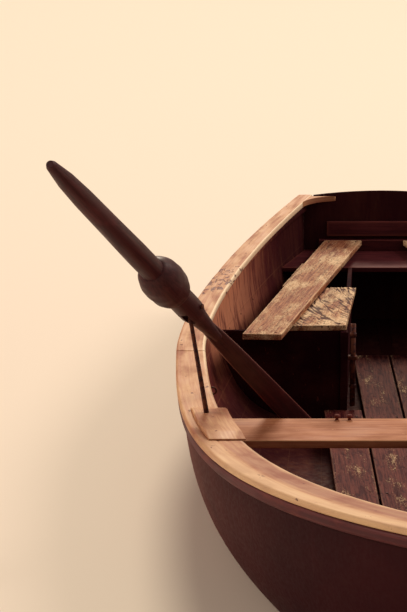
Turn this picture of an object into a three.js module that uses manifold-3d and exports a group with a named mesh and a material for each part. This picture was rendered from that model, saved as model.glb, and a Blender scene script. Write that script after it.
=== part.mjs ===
// Rowing boat, 4.7 m long: planked hull, wooden caps, benches, lockers, two oars on iron pins.
// Millimetres, +Z up, +Y to the bow, +X to starboard. Origin on the centreline at the waterline.
import * as THREE from 'three';
import { mergeVertices } from 'three/addons/utils/BufferGeometryUtils.js';
import Module from 'manifold-3d';

const wasm = await Module();
wasm.setup();

// Hull lines
const TRANSOM_Y = -1950;
const STEM_Y = 2754;
const BEAM_Y = 200;
const CAP_HALF_BEAM = 832;
const CAP_HALF_TRANSOM = 344;
const PLAN_POWER_AFT = 1.615;
const PLAN_POWER_FORE = 2.854;
const SHEER_LOW = 420;
const SHEER_LOW_Y = 400;
const SHEER_RISE_BOW = 224;
const SHEER_RISE_STERN = 54;
const KEEL_LINE_MID = -118;
const KEEL_MID_Y = -100;
const KEEL_RISE_STERN = 83;
const FOREFOOT_Y = 1700;
const FOREFOOT_Z = -110;
const STEM_RISE = 720;
const HULL_END_Y = 2700;
const FULLNESS = { middle: 0.38, aft: 0.14, aftY: -600, fore: 0.62, foreY: 700, foreRun: 2000, power: 1.5 };
const FAR = 3200; // past every side of the boat, for the blocks that trim
const LAP = 1; // how far solids that join or cut run past each other
const TRANSOM_RAKE = THREE.MathUtils.degToRad(10);
const TRANSOM_CROWN = 34; // height of the control point of its top curve
const TRANSOM_BLANK = { half: 500, foot: -560, drop: -2, underCap: 8 };

// Timber sizes
const GAP = 0.3;
const PLANK = 12;
const CAP_THICK = 22;
const CAP_OVERHANG = 20;
const CAP_WIDTH = { stern: 54, middle: 98, bow: 168 };
const CAP_JOINT_Y = 225;
// Rounded edges of the cap: distance from the edge, depth under the top
const CAP_EDGES = { outer: [[0, 10], [5, 1], [14, 0]], inner: [[5, 0], [0, 4]], under: [4, 9, 14] };
const STEM_HALF = 25;
const KEEL_DEPTH = 35;
// Planking of each side: shares of the girth from keel to cap, and steps of its section
const STRAKES = {
  bottom: { from: 0, to: 0.36, count: 4 },
  bilge: { from: 0.36, to: 0.62, count: 3 },
  side: { from: 0.62, to: 1, count: 5 },
};
const SEAM = 0.0007; // share of the girth left open between two strakes
// Rub rail: points of its face as distance from the hull, depth under the cap
const RAIL = { tall: 34, face: [[5, 0], [14, 4], [16, 17], [13, 29], [4, 34]] };
const INWALE = { thick: 20, tall: 32, end: 2580 };
const TRANSOM_THICK = 25;

// Inside
const SEAT_TOP = 280;
const SEAT_THICK = 27;
const BENCH_TOP = 300;
const BENCH_THICK = 23;
const LOCKER_TOP = 254.4;
const LOCKER_Y = -640;
const FLOOR_TOP = -42;
const FLOOR_THICK = 16;

// Oars and pins
const PIN_FOOT = new THREE.Vector3(731, 1031, 0);
const PIN = { foot: 8, neck: 6.5, neckZ: -116, spigot: 4.5, topZ: -62, headroom: 2, play: 0.6, sides: 16 };
const PIN_LEAN = THREE.MathUtils.degToRad(9.3);
const PIVOT_Z = 788;
const PAD = { from: 930, to: 1320, ramp: 60, thick: 16, endThick: 5, inboard: 8, outboard: 28 };
const PAD_EDGE = 5;
const OAR_AIM = new THREE.Vector3(472, 406, 280);
const BLADE_FACES = new THREE.Vector3(-0.027, -0.954, -0.299);
const OAR = { handle: 1030, blade: 1200, grip: 36, block: 41, blockEnd: 104, hole: 5.5 };
// Loom: radius and distance from the pivot, towards the handle
const LOOM = [[0, -240], [18, -240], [24, -150], [31, -70], [OAR.block - 1, -25], [OAR.block, 0],
  [OAR.block, OAR.blockEnd], [OAR.grip, OAR.blockEnd + 1], [OAR.grip, 420], [33, 600], [30.5, 800],
  [26, OAR.handle - 110], [20.5, OAR.handle - 55], [16, OAR.handle - 12], [11, OAR.handle], [0, OAR.handle]];
// Blade: distance from the pivot, half width, half thickness
const BLADE = [[100, 20, 14], [250, 27, 12], [420, 31, 11], [700, 35, 9.5], [1000, 38, 8.5], [1130, 38, 8],
  [1185, 31, 7], [OAR.blade, 20, 6]];
const BLADE_THIN = 0.7; // thickness of the blade's edges as a share of its middle
const ROUND_SIDES = 18;
const SWIVEL = { radius: 9, low: -46, high: 14, bolt: 5, boltHalf: 43, head: 9, headThick: 6 };
const SLOT = { half: 10.2, side: 11, back: 18, reach: 120 };
const SLOT_SPARE = THREE.MathUtils.degToRad(3);
const SLOT_LAP = THREE.MathUtils.degToRad(20);
const LIFT = THREE.MathUtils.degToRad(60);

const SKEG = { aft: -1800, fore: -900, foot: -152, thick: 36 };
const KEEL_AFT_Y = -1860;
const STEM_DEPTH = 45;
const STEM_STEPS = 12;
const FLOOR_HALF = 292;
const FLOORBOARDS = {
  inner: { x0: 4, x1: 144, from: -1330, to: 1960 },
  outer: { x0: 152, x1: FLOOR_HALF, from: -595, to: 1800 },
};
const BEARERS = { places: [-500, 350, 1200], half: 20 };
const RISER = { from: 430, to: 1930, tall: 38, thick: 18 };
const THWARTS = { middle: { from: 540, to: 780 }, bow: { from: 1600, to: 1820 } };
const TRANSOM_PAD = {
  inner: { z0: 302, z1: 364, half: 230, thick: 18 },
  outer: { z0: 180, z1: 478, half: 200, thick: 22 },
};
const LOCKER = { thick: 16, aftX: 140, post: { x0: 206, x1: 233 } };
const STERN_SEAT = { front: -1580, top: 254, thick: 20, ledgeY: -1862, ledgeHalf: 262 };
const LONG_BENCH = [[600, -420], [458, -412], [85, -1860], [240, -1860]];
const SHORT_BENCH = [[560, -612], [212, -624], [146, -1180], [300, -1180]];
const STRIP = [[433, -1200], [343, -1560], [300, -1560], [390, -1200]];
const PIPE = { x: 187, y: -606, radius: 10, z0: -30, z1: 285, clampZ: 150, clamp: 14 };
const KNEE = { reach: 105, hollow: 22, inset: 6 };
const BREASTHOOK = { rows: [2290, 2380, 2490, 2580, 2636], half: 320, thick: 20 };
const COLLAR = {
  from: OAR.blockEnd + 2,
  profile: [[47, 2], [57, 22], [66, 52], [68.5, 92], [65, 136], [56, 166], [44, 186]],
  long: 190,
};

const STATIONS = [-2000, -1800, -1550, -1250, -900, -500, -100, 225, 560, 925, 1120, 1320, 1500, 1700,
  1900, 2080, 2240, 2380, 2490, 2580, 2645, 2690];

const COLOURS = {
  hull: [0x3a1a20, 0.55], cap: [0xc98a5e, 0.6], inside: [0x6b3a2c, 0.75], bench: [0xc69a6a, 0.8],
  thwart: [0xb07a55, 0.7], dark: [0x2a1216, 0.8], iron: [0x2b1b1c, 0.5], oar: [0x3a161a, 0.6],
};

// Lines of the hull, as functions of y
function capHalf(y) {
  if (y < BEAM_Y) {
    const u = (BEAM_Y - y) / (BEAM_Y - TRANSOM_Y);
    return CAP_HALF_BEAM - (CAP_HALF_BEAM - CAP_HALF_TRANSOM) * u ** PLAN_POWER_AFT;
  }
  return CAP_HALF_BEAM * (1 - ((y - BEAM_Y) / (STEM_Y - BEAM_Y)) ** PLAN_POWER_FORE);
}

function sheer(y) {
  if (y < SHEER_LOW_Y) {
    return SHEER_LOW + SHEER_RISE_STERN * ((SHEER_LOW_Y - y) / (SHEER_LOW_Y - TRANSOM_Y)) ** 2;
  }
  return SHEER_LOW + SHEER_RISE_BOW * ((y - SHEER_LOW_Y) / (STEM_Y - SHEER_LOW_Y)) ** 2;
}

const underCap = (y) => sheer(y) - CAP_THICK - GAP;

function keelLine(y) {
  if (y < KEEL_MID_Y) {
    return KEEL_LINE_MID + KEEL_RISE_STERN * ((KEEL_MID_Y - y) / (KEEL_MID_Y - TRANSOM_Y)) ** 2;
  }
  if (y < FOREFOOT_Y) {
    return KEEL_LINE_MID + (FOREFOOT_Z - KEEL_LINE_MID) * ((y - KEEL_MID_Y) / (FOREFOOT_Y - KEEL_MID_Y)) ** 2;
  }
  return FOREFOOT_Z + STEM_RISE * ((y - FOREFOOT_Y) / (HULL_END_Y - FOREFOOT_Y)) ** 4;
}

function hullHalf(y) {
  const edge = STEM_HALF + GAP;
  const beam = CAP_HALF_BEAM - CAP_OVERHANG;
  if (y < BEAM_Y) {
    const u = (BEAM_Y - y) / (BEAM_Y - TRANSOM_Y);
    return beam - (beam - CAP_HALF_TRANSOM + CAP_OVERHANG + 1) * u ** PLAN_POWER_AFT;
  }
  return edge + (beam - edge) * (1 - ((y - BEAM_Y) / (HULL_END_Y - BEAM_Y)) ** PLAN_POWER_FORE);
}

// Exponent of the section's curve: small in the full middle, larger towards the ends
function fullness(y) {
  const { middle, aft, aftY, fore, foreY, foreRun, power } = FULLNESS;
  if (y < aftY) {
    return middle + aft * ((aftY - y) / (aftY - TRANSOM_Y)) ** power;
  }
  return middle + fore * (Math.max(0, y - foreY) / foreRun) ** power;
}

// A point of the hull's outside: t runs from 0 at the keel to 1 under the cap
function outside(y, t) {
  const angle = Math.PI / 2 * t * t;
  const edge = STEM_HALF + GAP;
  const x = edge + (hullHalf(y) - edge) * Math.sin(angle) ** fullness(y);
  const z = keelLine(y) + (underCap(y) - keelLine(y)) * (1 - Math.cos(angle));
  return new THREE.Vector3(x, y, z);
}

// The same point set inwards by a depth, square to the surface
function hullPoint(y, t, depth) {
  const point = outside(y, t);
  const low = Math.max(0.0005, t - 0.01);
  const along = outside(y + 5, t).sub(outside(y - 5, t));
  const up = outside(y, Math.min(1, t + 0.01)).sub(outside(y, low));
  const inward = up.cross(along).normalize();
  if (inward.x > 0) {
    inward.negate();
  }
  return point.addScaledVector(inward, depth);
}

// The point of the faceted skin at a height: on a station's chord, and between two stations if needed
function atHeight(y, z, depth) {
  const next = STATIONS.findIndex((station) => station >= y);
  const [a, b] = [STATIONS[Math.max(0, next - 1)], STATIONS[next]];
  const far = onStation(b, z, depth);
  return b === y ? far : onStation(a, z, depth).lerp(far, (y - a) / (b - a));
}

function onStation(y, z, depth) {
  const ring = GIRTH.map((t) => hullPoint(y, t, depth));
  const k = ring.findIndex((point) => point.z > z);
  if (k < 1) {
    return ring[k < 0 ? ring.length - 1 : 0].clone();
  }
  return ring[k - 1].clone().lerp(ring[k], (z - ring[k - 1].z) / (ring[k].z - ring[k - 1].z));
}

// Outward direction of the cap's edge in plan
function planNormal(half, y) {
  const slope = (half(y + 1) - half(y - 1)) / 2;
  return new THREE.Vector3(1, -slope, 0).normalize();
}

function capWidth(y) {
  if (y < BEAM_Y) {
    return CAP_WIDTH.middle + (CAP_WIDTH.stern - CAP_WIDTH.middle) * (BEAM_Y - y) / (BEAM_Y - TRANSOM_Y);
  }
  return CAP_WIDTH.middle + (CAP_WIDTH.bow - CAP_WIDTH.middle) * (y - BEAM_Y) / (STEM_Y - BEAM_Y);
}

function stepsBetween(from, to, count) {
  return Array.from({ length: count + 1 }, (_, j) => from + (to - from) * j / count);
}

// Girth steps of each strake, and of all of them from the keel up
const strakeSteps = ({ from, to, count }) => stepsBetween(from > 0 ? from + SEAM : 0, to, count);
const GIRTH = Object.values(STRAKES).flatMap(strakeSteps);

// Solids
function toSolid(geometry) {
  const plain = geometry.index ? geometry.clone() : geometry;
  plain.deleteAttribute('normal');
  plain.deleteAttribute('uv');
  const merged = mergeVertices(plain, 1e-3);
  return new wasm.Manifold(new wasm.Mesh({
    numProp: 3,
    vertProperties: new Float32Array(merged.attributes.position.array),
    triVerts: new Uint32Array(merged.index.array),
  }));
}

function toGeometry(solid) {
  const mesh = solid.getMesh();
  const geometry = new THREE.BufferGeometry();
  geometry.setAttribute('position', new THREE.BufferAttribute(new Float32Array(mesh.vertProperties), 3));
  geometry.setIndex(new THREE.BufferAttribute(new Uint32Array(mesh.triVerts), 1));
  return geometry;
}

// A closed sheet between two grids of points, rows along the boat and columns across it
function slab(outer, inner) {
  const rows = outer.length;
  const columns = outer[0].length;
  const points = [...outer.flat(), ...inner.flat()];
  const faces = [];
  const top = (i, j) => i * columns + j;
  const under = (i, j) => rows * columns + i * columns + j;
  const quad = (a, b, c, d) => faces.push(a, b, c, a, c, d);
  for (let i = 0; i < rows - 1; i += 1) {
    for (let j = 0; j < columns - 1; j += 1) {
      quad(top(i, j), top(i, j + 1), top(i + 1, j + 1), top(i + 1, j));
      quad(under(i, j), under(i + 1, j), under(i + 1, j + 1), under(i, j + 1));
    }
    quad(top(i, 0), top(i + 1, 0), under(i + 1, 0), under(i, 0));
    quad(top(i, columns - 1), under(i, columns - 1), under(i + 1, columns - 1), top(i + 1, columns - 1));
  }
  for (let j = 0; j < columns - 1; j += 1) {
    quad(top(0, j), under(0, j), under(0, j + 1), top(0, j + 1));
    quad(top(rows - 1, j), top(rows - 1, j + 1), under(rows - 1, j + 1), under(rows - 1, j));
  }
  const geometry = new THREE.BufferGeometry().setFromPoints(points);
  geometry.setIndex(faces);
  return outwards(geometry);
}

function outwards(geometry) {
  const position = geometry.attributes.position;
  const index = geometry.index.array;
  const [a, b, c] = [new THREE.Vector3(), new THREE.Vector3(), new THREE.Vector3()];
  let volume = 0;
  for (let k = 0; k < index.length; k += 3) {
    a.fromBufferAttribute(position, index[k]);
    b.fromBufferAttribute(position, index[k + 1]);
    c.fromBufferAttribute(position, index[k + 2]);
    volume += a.dot(b.cross(c));
  }
  return volume < 0 ? flipped(geometry) : geometry;
}

function flipped(geometry) {
  const index = Array.from(geometry.index.array);
  for (let k = 0; k < index.length; k += 3) {
    [index[k], index[k + 1]] = [index[k + 1], index[k]];
  }
  geometry.setIndex(index);
  return geometry;
}

function mirrored(geometry) {
  const copy = geometry.index ? geometry.clone() : mergeVertices(geometry);
  copy.scale(-1, 1, 1);
  return flipped(copy);
}

function box(x0, x1, y0, y1, z0, z1) {
  const geometry = new THREE.BoxGeometry(x1 - x0, y1 - y0, z1 - z0);
  return geometry.translate((x0 + x1) / 2, (y0 + y1) / 2, (z0 + z1) / 2);
}

// A board with a flat outline given in plan, from its underside up
function board(outline, z, thick) {
  const shape = new THREE.Shape(outline.map(([x, y]) => new THREE.Vector2(x, y)));
  return new THREE.ExtrudeGeometry(shape, { depth: thick, bevelEnabled: false }).translate(0, 0, z);
}

// A plate with an outline in the Y-Z plane, centred on x = 0
function plate(outline, thick) {
  const shape = new THREE.Shape(outline.map(([y, z]) => new THREE.Vector2(y, z)));
  const geometry = new THREE.ExtrudeGeometry(shape, { depth: thick, bevelEnabled: false });
  geometry.applyMatrix4(new THREE.Matrix4().set(0, 0, 1, -thick / 2, 1, 0, 0, 0, 0, 1, 0, 0, 0, 0, 0, 1));
  return geometry;
}

// Everything inside the hull's skin at a depth, used to trim what meets the planks
function hold(depth) {
  const skin = STATIONS.map((y) => {
    const ring = GIRTH.map((t) => hullPoint(y, t, depth));
    ring.forEach((point) => point.setX(Math.max(point.x, 1)));
    return [ring[0].clone().setX(-1), ...ring];
  });
  const lid = skin.map((row) => row.map((point) => point.clone().setZ(FAR)));
  const half = slab(skin, lid);
  return toSolid(half).add(toSolid(mirrored(half)));
}

const INSIDE = hold(PLANK + GAP);
const INSIDE_FRAME = hold(PLANK + INWALE.thick + 2 * GAP);

// The raked plane of the transom: everything ahead of it, from a distance inside its outer face
function aheadOfTransom(inset) {
  const half = new THREE.BoxGeometry(FAR, 2 * FAR, FAR).translate(0, FAR + inset, 0);
  half.rotateX(TRANSOM_RAKE).translate(0, TRANSOM_Y, sheer(TRANSOM_Y));
  return toSolid(half);
}

const AHEAD = aheadOfTransom(0);
const STARBOARD = toSolid(box(STEM_HALF + GAP, FAR, -FAR, FAR, -FAR, FAR));
const OFF_CENTRE = toSolid(box(GAP / 2, FAR, -FAR, FAR, -FAR, FAR));

const boat = new THREE.Group();

function add(name, geometry, look) {
  const [color, roughness] = COLOURS[look];
  const metalness = look === 'iron' ? 0.8 : 0;
  const mesh = new THREE.Mesh(geometry, new THREE.MeshStandardMaterial({ color, roughness, metalness }));
  mesh.name = name;
  boat.add(mesh);
  return mesh;
}

function addPair(name, geometry, look) {
  add(`${name}_starboard`, geometry, look);
  add(`${name}_port`, mirrored(geometry), look);
}

const cutTo = (geometry, ...solids) => toGeometry(solids.reduce((s, t) => s.intersect(t), toSolid(geometry)));

// Planking: a bottom, a bilge and a side strake on each side of the keel, each cut clear of the last
function planking() {
  let below = null;
  Object.entries(STRAKES).forEach(([name, strake]) => {
    const face = (depth) => STATIONS.map((y) => strakeSteps(strake).map((t) => hullPoint(y, t, depth)));
    let solid = toSolid(slab(face(0), face(PLANK))).intersect(AHEAD).intersect(STARBOARD);
    if (below) {
      solid = solid.subtract(below).subtract(below.translate([0, 0, GAP]));
    }
    addPair(name, toGeometry(solid), 'hull');
    below = solid;
  });
}
planking();

// Keel, skeg and stem
function backbone() {
  const keelStations = STATIONS.filter((y) => y > KEEL_AFT_Y && y < FOREFOOT_Y);
  const ends = [KEEL_AFT_Y, ...keelStations, FOREFOOT_Y - GAP];
  const under = ends.map((y) => [y, keelLine(y) - KEEL_DEPTH]);
  const over = ends.map((y) => [y, keelLine(y) + PLANK - GAP]).reverse();
  add('keel', plate([...under, ...over], 2 * STEM_HALF), 'hull');

  const skegStations = STATIONS.filter((y) => y > SKEG.aft - 1 && y < SKEG.fore + 1).reverse();
  const seat = skegStations.map((y) => [y, keelLine(y) - KEEL_DEPTH - GAP]);
  add('skeg', plate([...seat, [SKEG.aft, SKEG.foot]], SKEG.thick), 'hull');

  const rabbet = [];
  for (let y = FOREFOOT_Y; y < HULL_END_Y + 1; y += (HULL_END_Y - FOREFOOT_Y) / STEM_STEPS) {
    const slope = (keelLine(y + 1) - keelLine(y - 1)) / 2;
    const run = Math.hypot(1, slope);
    rabbet.push({ y, z: keelLine(y), outY: slope / run, outZ: -1 / run });
  }
  const fore = rabbet.map((p) => [p.y + KEEL_DEPTH * p.outY, p.z + KEEL_DEPTH * p.outZ]);
  const aft = rabbet.map((p) => [p.y - STEM_DEPTH * p.outY, p.z - STEM_DEPTH * p.outZ]).reverse();
  const whole = toSolid(plate([...fore, ...aft], 2 * STEM_HALF));
  const slope = (underCap(STEM_Y) - underCap(STEM_Y - 160)) / 160;
  const cover = new THREE.BoxGeometry(200, 800, 400).translate(0, 0, 200);
  cover.rotateX(Math.atan(slope)).translate(0, STEM_Y, underCap(STEM_Y) - GAP - 2);
  const behind = toSolid(box(-100, 100, -500, FOREFOOT_Y, -400, 400));
  add('stem', toGeometry(whole.subtract(toSolid(cover)).subtract(behind)), 'hull');
}
backbone();

// Rub rail outside and inwale inside, both under the cap
function rubRail() {
  const section = (y, out, down) => {
    const normal = planNormal(hullHalf, y);
    return new THREE.Vector3(hullHalf(y), y, underCap(y) - down).addScaledVector(normal, GAP + out);
  };
  const face = STATIONS.map((y) => RAIL.face.map(([out, down]) => section(y, out, down)));
  const back = STATIONS.map((y) => stepsBetween(0, RAIL.tall, 4).map((down) => section(y, 0, down)));
  return cutTo(slab(face, back), AHEAD, STARBOARD);
}
addPair('rubrail', rubRail(), 'cap');

function inwale() {
  const rows = STATIONS.filter((y) => y <= INWALE.end);
  const grid = (depth) => rows.map((y) => [0, INWALE.tall].map((down) => {
    const point = atHeight(y, underCap(y) - down, depth);
    return point.setZ(underCap(y) - down);
  }));
  const ahead = aheadOfTransom(TRANSOM_THICK + GAP);
  return cutTo(slab(grid(PLANK + GAP), grid(PLANK + GAP + INWALE.thick)), ahead, STARBOARD);
}
addPair('inwale', inwale(), 'inside');

// Caps: the flat boards that close the top of each side
function cap(from, to) {
  const rows = [from, ...STATIONS.filter((y) => y > from + 1 && y < to - 1), to];
  const rim = (y, inset, down) => {
    const edge = new THREE.Vector3(capHalf(y), y, sheer(y) - down);
    return edge.addScaledVector(planNormal(capHalf, y), -inset);
  };
  const { outer, inner, under } = CAP_EDGES;
  const over = rows.map((y) => [...outer.map(([inset, down]) => rim(y, inset, down)),
    ...inner.map(([inset, down]) => rim(y, capWidth(y) - inset, down))]);
  const below = rows.map((y) => [...under, ...inner.map(([inset]) => capWidth(y) - inset)]
    .map((inset) => rim(y, inset, CAP_THICK)));
  return cutTo(slab(over, below), AHEAD, OFF_CENTRE);
}
addPair('cap_aft', cap(-2000, CAP_JOINT_Y - GAP / 2), 'cap');
addPair('cap_fore', cap(CAP_JOINT_Y + GAP / 2, STEM_Y - 12), 'cap');

// Transom with a crowned top between the caps
function transom() {
  const top = sheer(TRANSOM_Y);
  const shoulder = rimInside(TRANSOM_Y - 4).x - 1;
  const { half, foot, drop, underCap: below } = TRANSOM_BLANK;
  const notch = -CAP_THICK - below;
  const shape = new THREE.Shape();
  shape.moveTo(-half, foot);
  shape.lineTo(half, foot);
  shape.lineTo(half, notch);
  shape.lineTo(shoulder, notch);
  shape.lineTo(shoulder, drop);
  shape.quadraticCurveTo(0, TRANSOM_CROWN, -shoulder, drop);
  shape.lineTo(-shoulder, notch);
  shape.lineTo(-half, notch);
  const depth = TRANSOM_THICK;
  const slabGeometry = new THREE.ExtrudeGeometry(shape, { depth, bevelEnabled: false, curveSegments: 10 });
  slabGeometry.scale(1, 1, -1).rotateX(Math.PI / 2);
  slabGeometry.applyMatrix4(new THREE.Matrix4().makeRotationX(TRANSOM_RAKE));
  slabGeometry.translate(0, TRANSOM_Y, top);
  const turned = outwards(mergeVertices(stripped(slabGeometry)));
  return toGeometry(toSolid(turned).intersect(INSIDE));
}

function stripped(geometry) {
  geometry.deleteAttribute('normal');
  geometry.deleteAttribute('uv');
  return geometry;
}
add('transom', transom(), 'inside');

// Quarter knees in the corners of the transom, breasthook in the bow, pads for an outboard bracket
function quarterKnee() {
  const y0 = TRANSOM_Y + TRANSOM_THICK + KNEE.inset;
  const corner = rimInside(y0);
  const ahead = rimInside(y0 + KNEE.reach);
  const shape = new THREE.Shape();
  shape.moveTo(corner.x, y0);
  shape.lineTo(ahead.x, y0 + KNEE.reach);
  shape.quadraticCurveTo(corner.x - KNEE.hollow, y0 + KNEE.hollow, corner.x - KNEE.reach, y0);
  shape.closePath();
  const depth = CAP_THICK;
  const geometry = new THREE.ExtrudeGeometry(shape, { depth, bevelEnabled: false, curveSegments: 6 });
  return geometry.translate(0, 0, sheer(y0) - CAP_THICK - 1);
}

// Inner edge of the cap at a given y, on its chord between two stations, with the seam's gap
function rimInside(y) {
  const edge = (at) => new THREE.Vector3(capHalf(at), at, 0)
    .addScaledVector(planNormal(capHalf, at), -capWidth(at));
  const points = STATIONS.map(edge);
  const k = points.findIndex((point) => point.y > y);
  const [a, b] = [points[k - 1], points[k]];
  const share = (y - a.y) / (b.y - a.y);
  return a.clone().lerp(b, share).add(new THREE.Vector3(-GAP - 0.2, 0, 0));
}
addPair('quarter_knee', quarterKnee(), 'cap');

function breasthook() {
  const { rows, half, thick } = BREASTHOOK;
  const point = (x, y, down) => new THREE.Vector3(x, y, underCap(y) - down);
  const level = (down) => rows.map((y) => [point(-half, y, down), point(half, y, down)]);
  return cutTo(slab(level(GAP + 1), level(GAP + 1 + thick)), INSIDE_FRAME);
}
add('breasthook', breasthook(), 'cap');

function transomPads() {
  const face = (distance, z0, z1, half, thick) => {
    const pad = new THREE.BoxGeometry(2 * half, thick, z1 - z0);
    pad.translate(0, distance + thick / 2, (z0 + z1) / 2 - sheer(TRANSOM_Y));
    return pad.rotateX(TRANSOM_RAKE).translate(0, TRANSOM_Y, sheer(TRANSOM_Y));
  };
  const { inner, outer } = TRANSOM_PAD;
  add('transom_pad_inner', face(TRANSOM_THICK + GAP, inner.z0, inner.z1, inner.half, inner.thick), 'dark');
  add('transom_pad_outer', face(-outer.thick - GAP, outer.z0, outer.z1, outer.half, outer.thick), 'dark');
}
transomPads();

// Risers along the sides and the two thwarts that lie on them
function riser() {
  const rows = [RISER.from, ...STATIONS.filter((y) => y > RISER.from && y < RISER.to), RISER.to];
  const under = SEAT_TOP - SEAT_THICK - GAP;
  const levels = [under, under - RISER.tall];
  const grid = (depth) => rows.map((y) => levels.map((z) => atHeight(y, z, depth).setZ(z)));
  return cutTo(slab(grid(PLANK + GAP + 1), grid(PLANK + RISER.thick)), STARBOARD);
}
addPair('riser', riser(), 'inside');

Object.entries(THWARTS).forEach(([name, { from, to }]) => {
  add(`thwart_${name}`, cutTo(box(-FAR, FAR, from, to, SEAT_TOP - SEAT_THICK, SEAT_TOP), INSIDE), 'thwart');
});

// Bearers on the bottom and the boards that lie on them
function bearer(y) {
  const under = FLOOR_TOP - FLOOR_THICK - GAP;
  return cutTo(box(-FLOOR_HALF, FLOOR_HALF, y - BEARERS.half, y + BEARERS.half, -FAR, under), INSIDE);
}
BEARERS.places.forEach((y, k) => add(`bearer_${k + 1}`, bearer(y), 'dark'));

Object.entries(FLOORBOARDS).forEach(([name, { x0, x1, from, to }]) => {
  const plank = box(x0, x1, from, to, FLOOR_TOP - FLOOR_THICK, FLOOR_TOP);
  addPair(`floorboard_${name}`, cutTo(plank, INSIDE), 'bench');
});

// Lockers along both sides aft: a front, an inner side, a corner post and the two planks over them
function lockers() {
  const bottom = -150;
  const { post } = LOCKER;
  const front = box(post.x1 + GAP, FAR, LOCKER_Y, LOCKER_Y + LOCKER.thick, bottom, LOCKER_TOP);
  addPair('locker_front', cutTo(front, INSIDE), 'dark');
  const corner = box(post.x0, post.x1, LOCKER_Y, LOCKER_Y + 40, bottom, LOCKER_TOP);
  addPair('locker_post', cutTo(corner, INSIDE), 'dark');
  const side = [[post.x0, LOCKER_Y - GAP], [LOCKER.aftX, STERN_SEAT.front + 8],
    [LOCKER.aftX + LOCKER.thick, STERN_SEAT.front + 8], [post.x0 + LOCKER.thick, LOCKER_Y - GAP]];
  addPair('locker_side', cutTo(board(side, bottom, LOCKER_TOP - bottom), INSIDE), 'dark');
  const short = LOCKER_TOP + GAP;
  addPair('bench_short', board(SHORT_BENCH, short, BENCH_TOP - BENCH_THICK - GAP - short), 'bench');
  addPair('bench_long', board(LONG_BENCH, BENCH_TOP - BENCH_THICK, BENCH_THICK), 'bench');
  addPair('bench_strip', board(STRIP, short, BENCH_TOP - BENCH_THICK - GAP - short), 'bench');
}
lockers();

// Seat and ledge in the stern
function stern() {
  const { front, top, thick, ledgeY, ledgeHalf } = STERN_SEAT;
  const ahead = aheadOfTransom(TRANSOM_THICK + GAP);
  add('stern_seat', cutTo(box(-FAR, FAR, -FAR, front, top - thick, top), INSIDE, ahead), 'thwart');
  const ledge = box(-ledgeHalf, ledgeHalf, -FAR, ledgeY, top + GAP, BENCH_TOP - 1);
  add('stern_ledge', cutTo(ledge, INSIDE, ahead), 'inside');
}
stern();

// Upright pipe of the bilge pump beside the starboard post
function pumpPipe() {
  const { x, y, radius, z0, z1, clampZ, clamp: reach } = PIPE;
  const pipe = new THREE.CylinderGeometry(radius, radius, z1 - z0, 14).rotateX(Math.PI / 2);
  const clamp = box(x - reach, LOCKER.post.x0 - GAP, y - reach, y + reach, clampZ, clampZ + reach);
  const tube = toSolid(pipe.translate(x, y, (z0 + z1) / 2));
  return toGeometry(tube.add(toSolid(clamp)));
}
add('pump_pipe', pumpPipe(), 'iron');

// Pads and pins on the caps
function capRim(y, inset, up) {
  const edge = new THREE.Vector3(capHalf(y), y, sheer(y) + up);
  return edge.addScaledVector(planNormal(capHalf, y), -inset);
}

// A point over the flat stretch of cap between two stations
function onCap(y, inset, up) {
  const next = STATIONS.findIndex((station) => station >= y);
  const [a, b] = [STATIONS[next - 1], STATIONS[next]];
  return capRim(a, inset, up).lerp(capRim(b, inset, up), (y - a) / (b - a));
}

function pinPad() {
  const { from, to, ramp, thick, endThick, outboard } = PAD;
  const inner = capWidth(to) + PAD.inboard;
  const between = STATIONS.filter((y) => y > from + ramp && y < to - ramp);
  const rows = [[from, endThick], [from + ramp, thick], ...between.map((y) => [y, thick]),
    [to - ramp, thick], [to, endThick]];
  const over = rows.map(([y, up]) => [onCap(y, inner, up - PAD_EDGE / 2), onCap(y, inner - PAD_EDGE, up),
    onCap(y, outboard + PAD_EDGE, up), onCap(y, outboard, up - PAD_EDGE / 2)]);
  const below = rows.map(([y]) => [inner, inner - PAD_EDGE, outboard + PAD_EDGE, outboard]
    .map((inset) => onCap(y, inset, GAP)));
  return slab(over, below);
}
addPair('pin_pad', pinPad(), 'cap');

const PIN_AXIS = new THREE.Vector3(Math.sin(PIN_LEAN), 0, Math.cos(PIN_LEAN));
const FOOT = PIN_FOOT.clone().setZ(sheer(PIN_FOOT.y) + PAD.thick);
const PIVOT = FOOT.clone().addScaledVector(PIN_AXIS, (PIVOT_Z - FOOT.z) / PIN_AXIS.z);

function turned(axisX, axisZ, origin) {
  const axisY = new THREE.Vector3().crossVectors(axisZ, axisX);
  return new THREE.Matrix4().makeBasis(axisX, axisY, axisZ).setPosition(origin);
}

const OAR_WAY = OAR_AIM.clone().sub(PIVOT).normalize();
const CROSS = new THREE.Vector3().crossVectors(PIN_AXIS, OAR_WAY).normalize();
const PIN_FRAME = turned(CROSS, PIN_AXIS, PIVOT);

// A round bar along the pin's axis, between two heights measured from the pivot
function upright(radiusTop, radiusFoot, low, high) {
  const bar = new THREE.CylinderGeometry(radiusTop, radiusFoot, high - low, PIN.sides).rotateX(Math.PI / 2);
  return bar.translate(0, 0, (low + high) / 2);
}

// The pin tapers from its foot on the pad to a neck, and its spigot carries the swivel
function pin() {
  const foot = -PIVOT.distanceTo(FOOT) - PAD.thick / 2;
  const rod = upright(PIN.neck, PIN.foot, foot, PIN.neckZ);
  const spigot = upright(PIN.spigot, PIN.spigot, PIN.neckZ - LAP, PIN.topZ);
  const solid = toSolid(rod).add(toSolid(spigot));
  const placed = toSolid(toGeometry(solid).applyMatrix4(PIN_FRAME));
  return toGeometry(placed.subtract(toSolid(pinPad().translate(0, 0, GAP))));
}
addPair('pin', pin(), 'iron');

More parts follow.
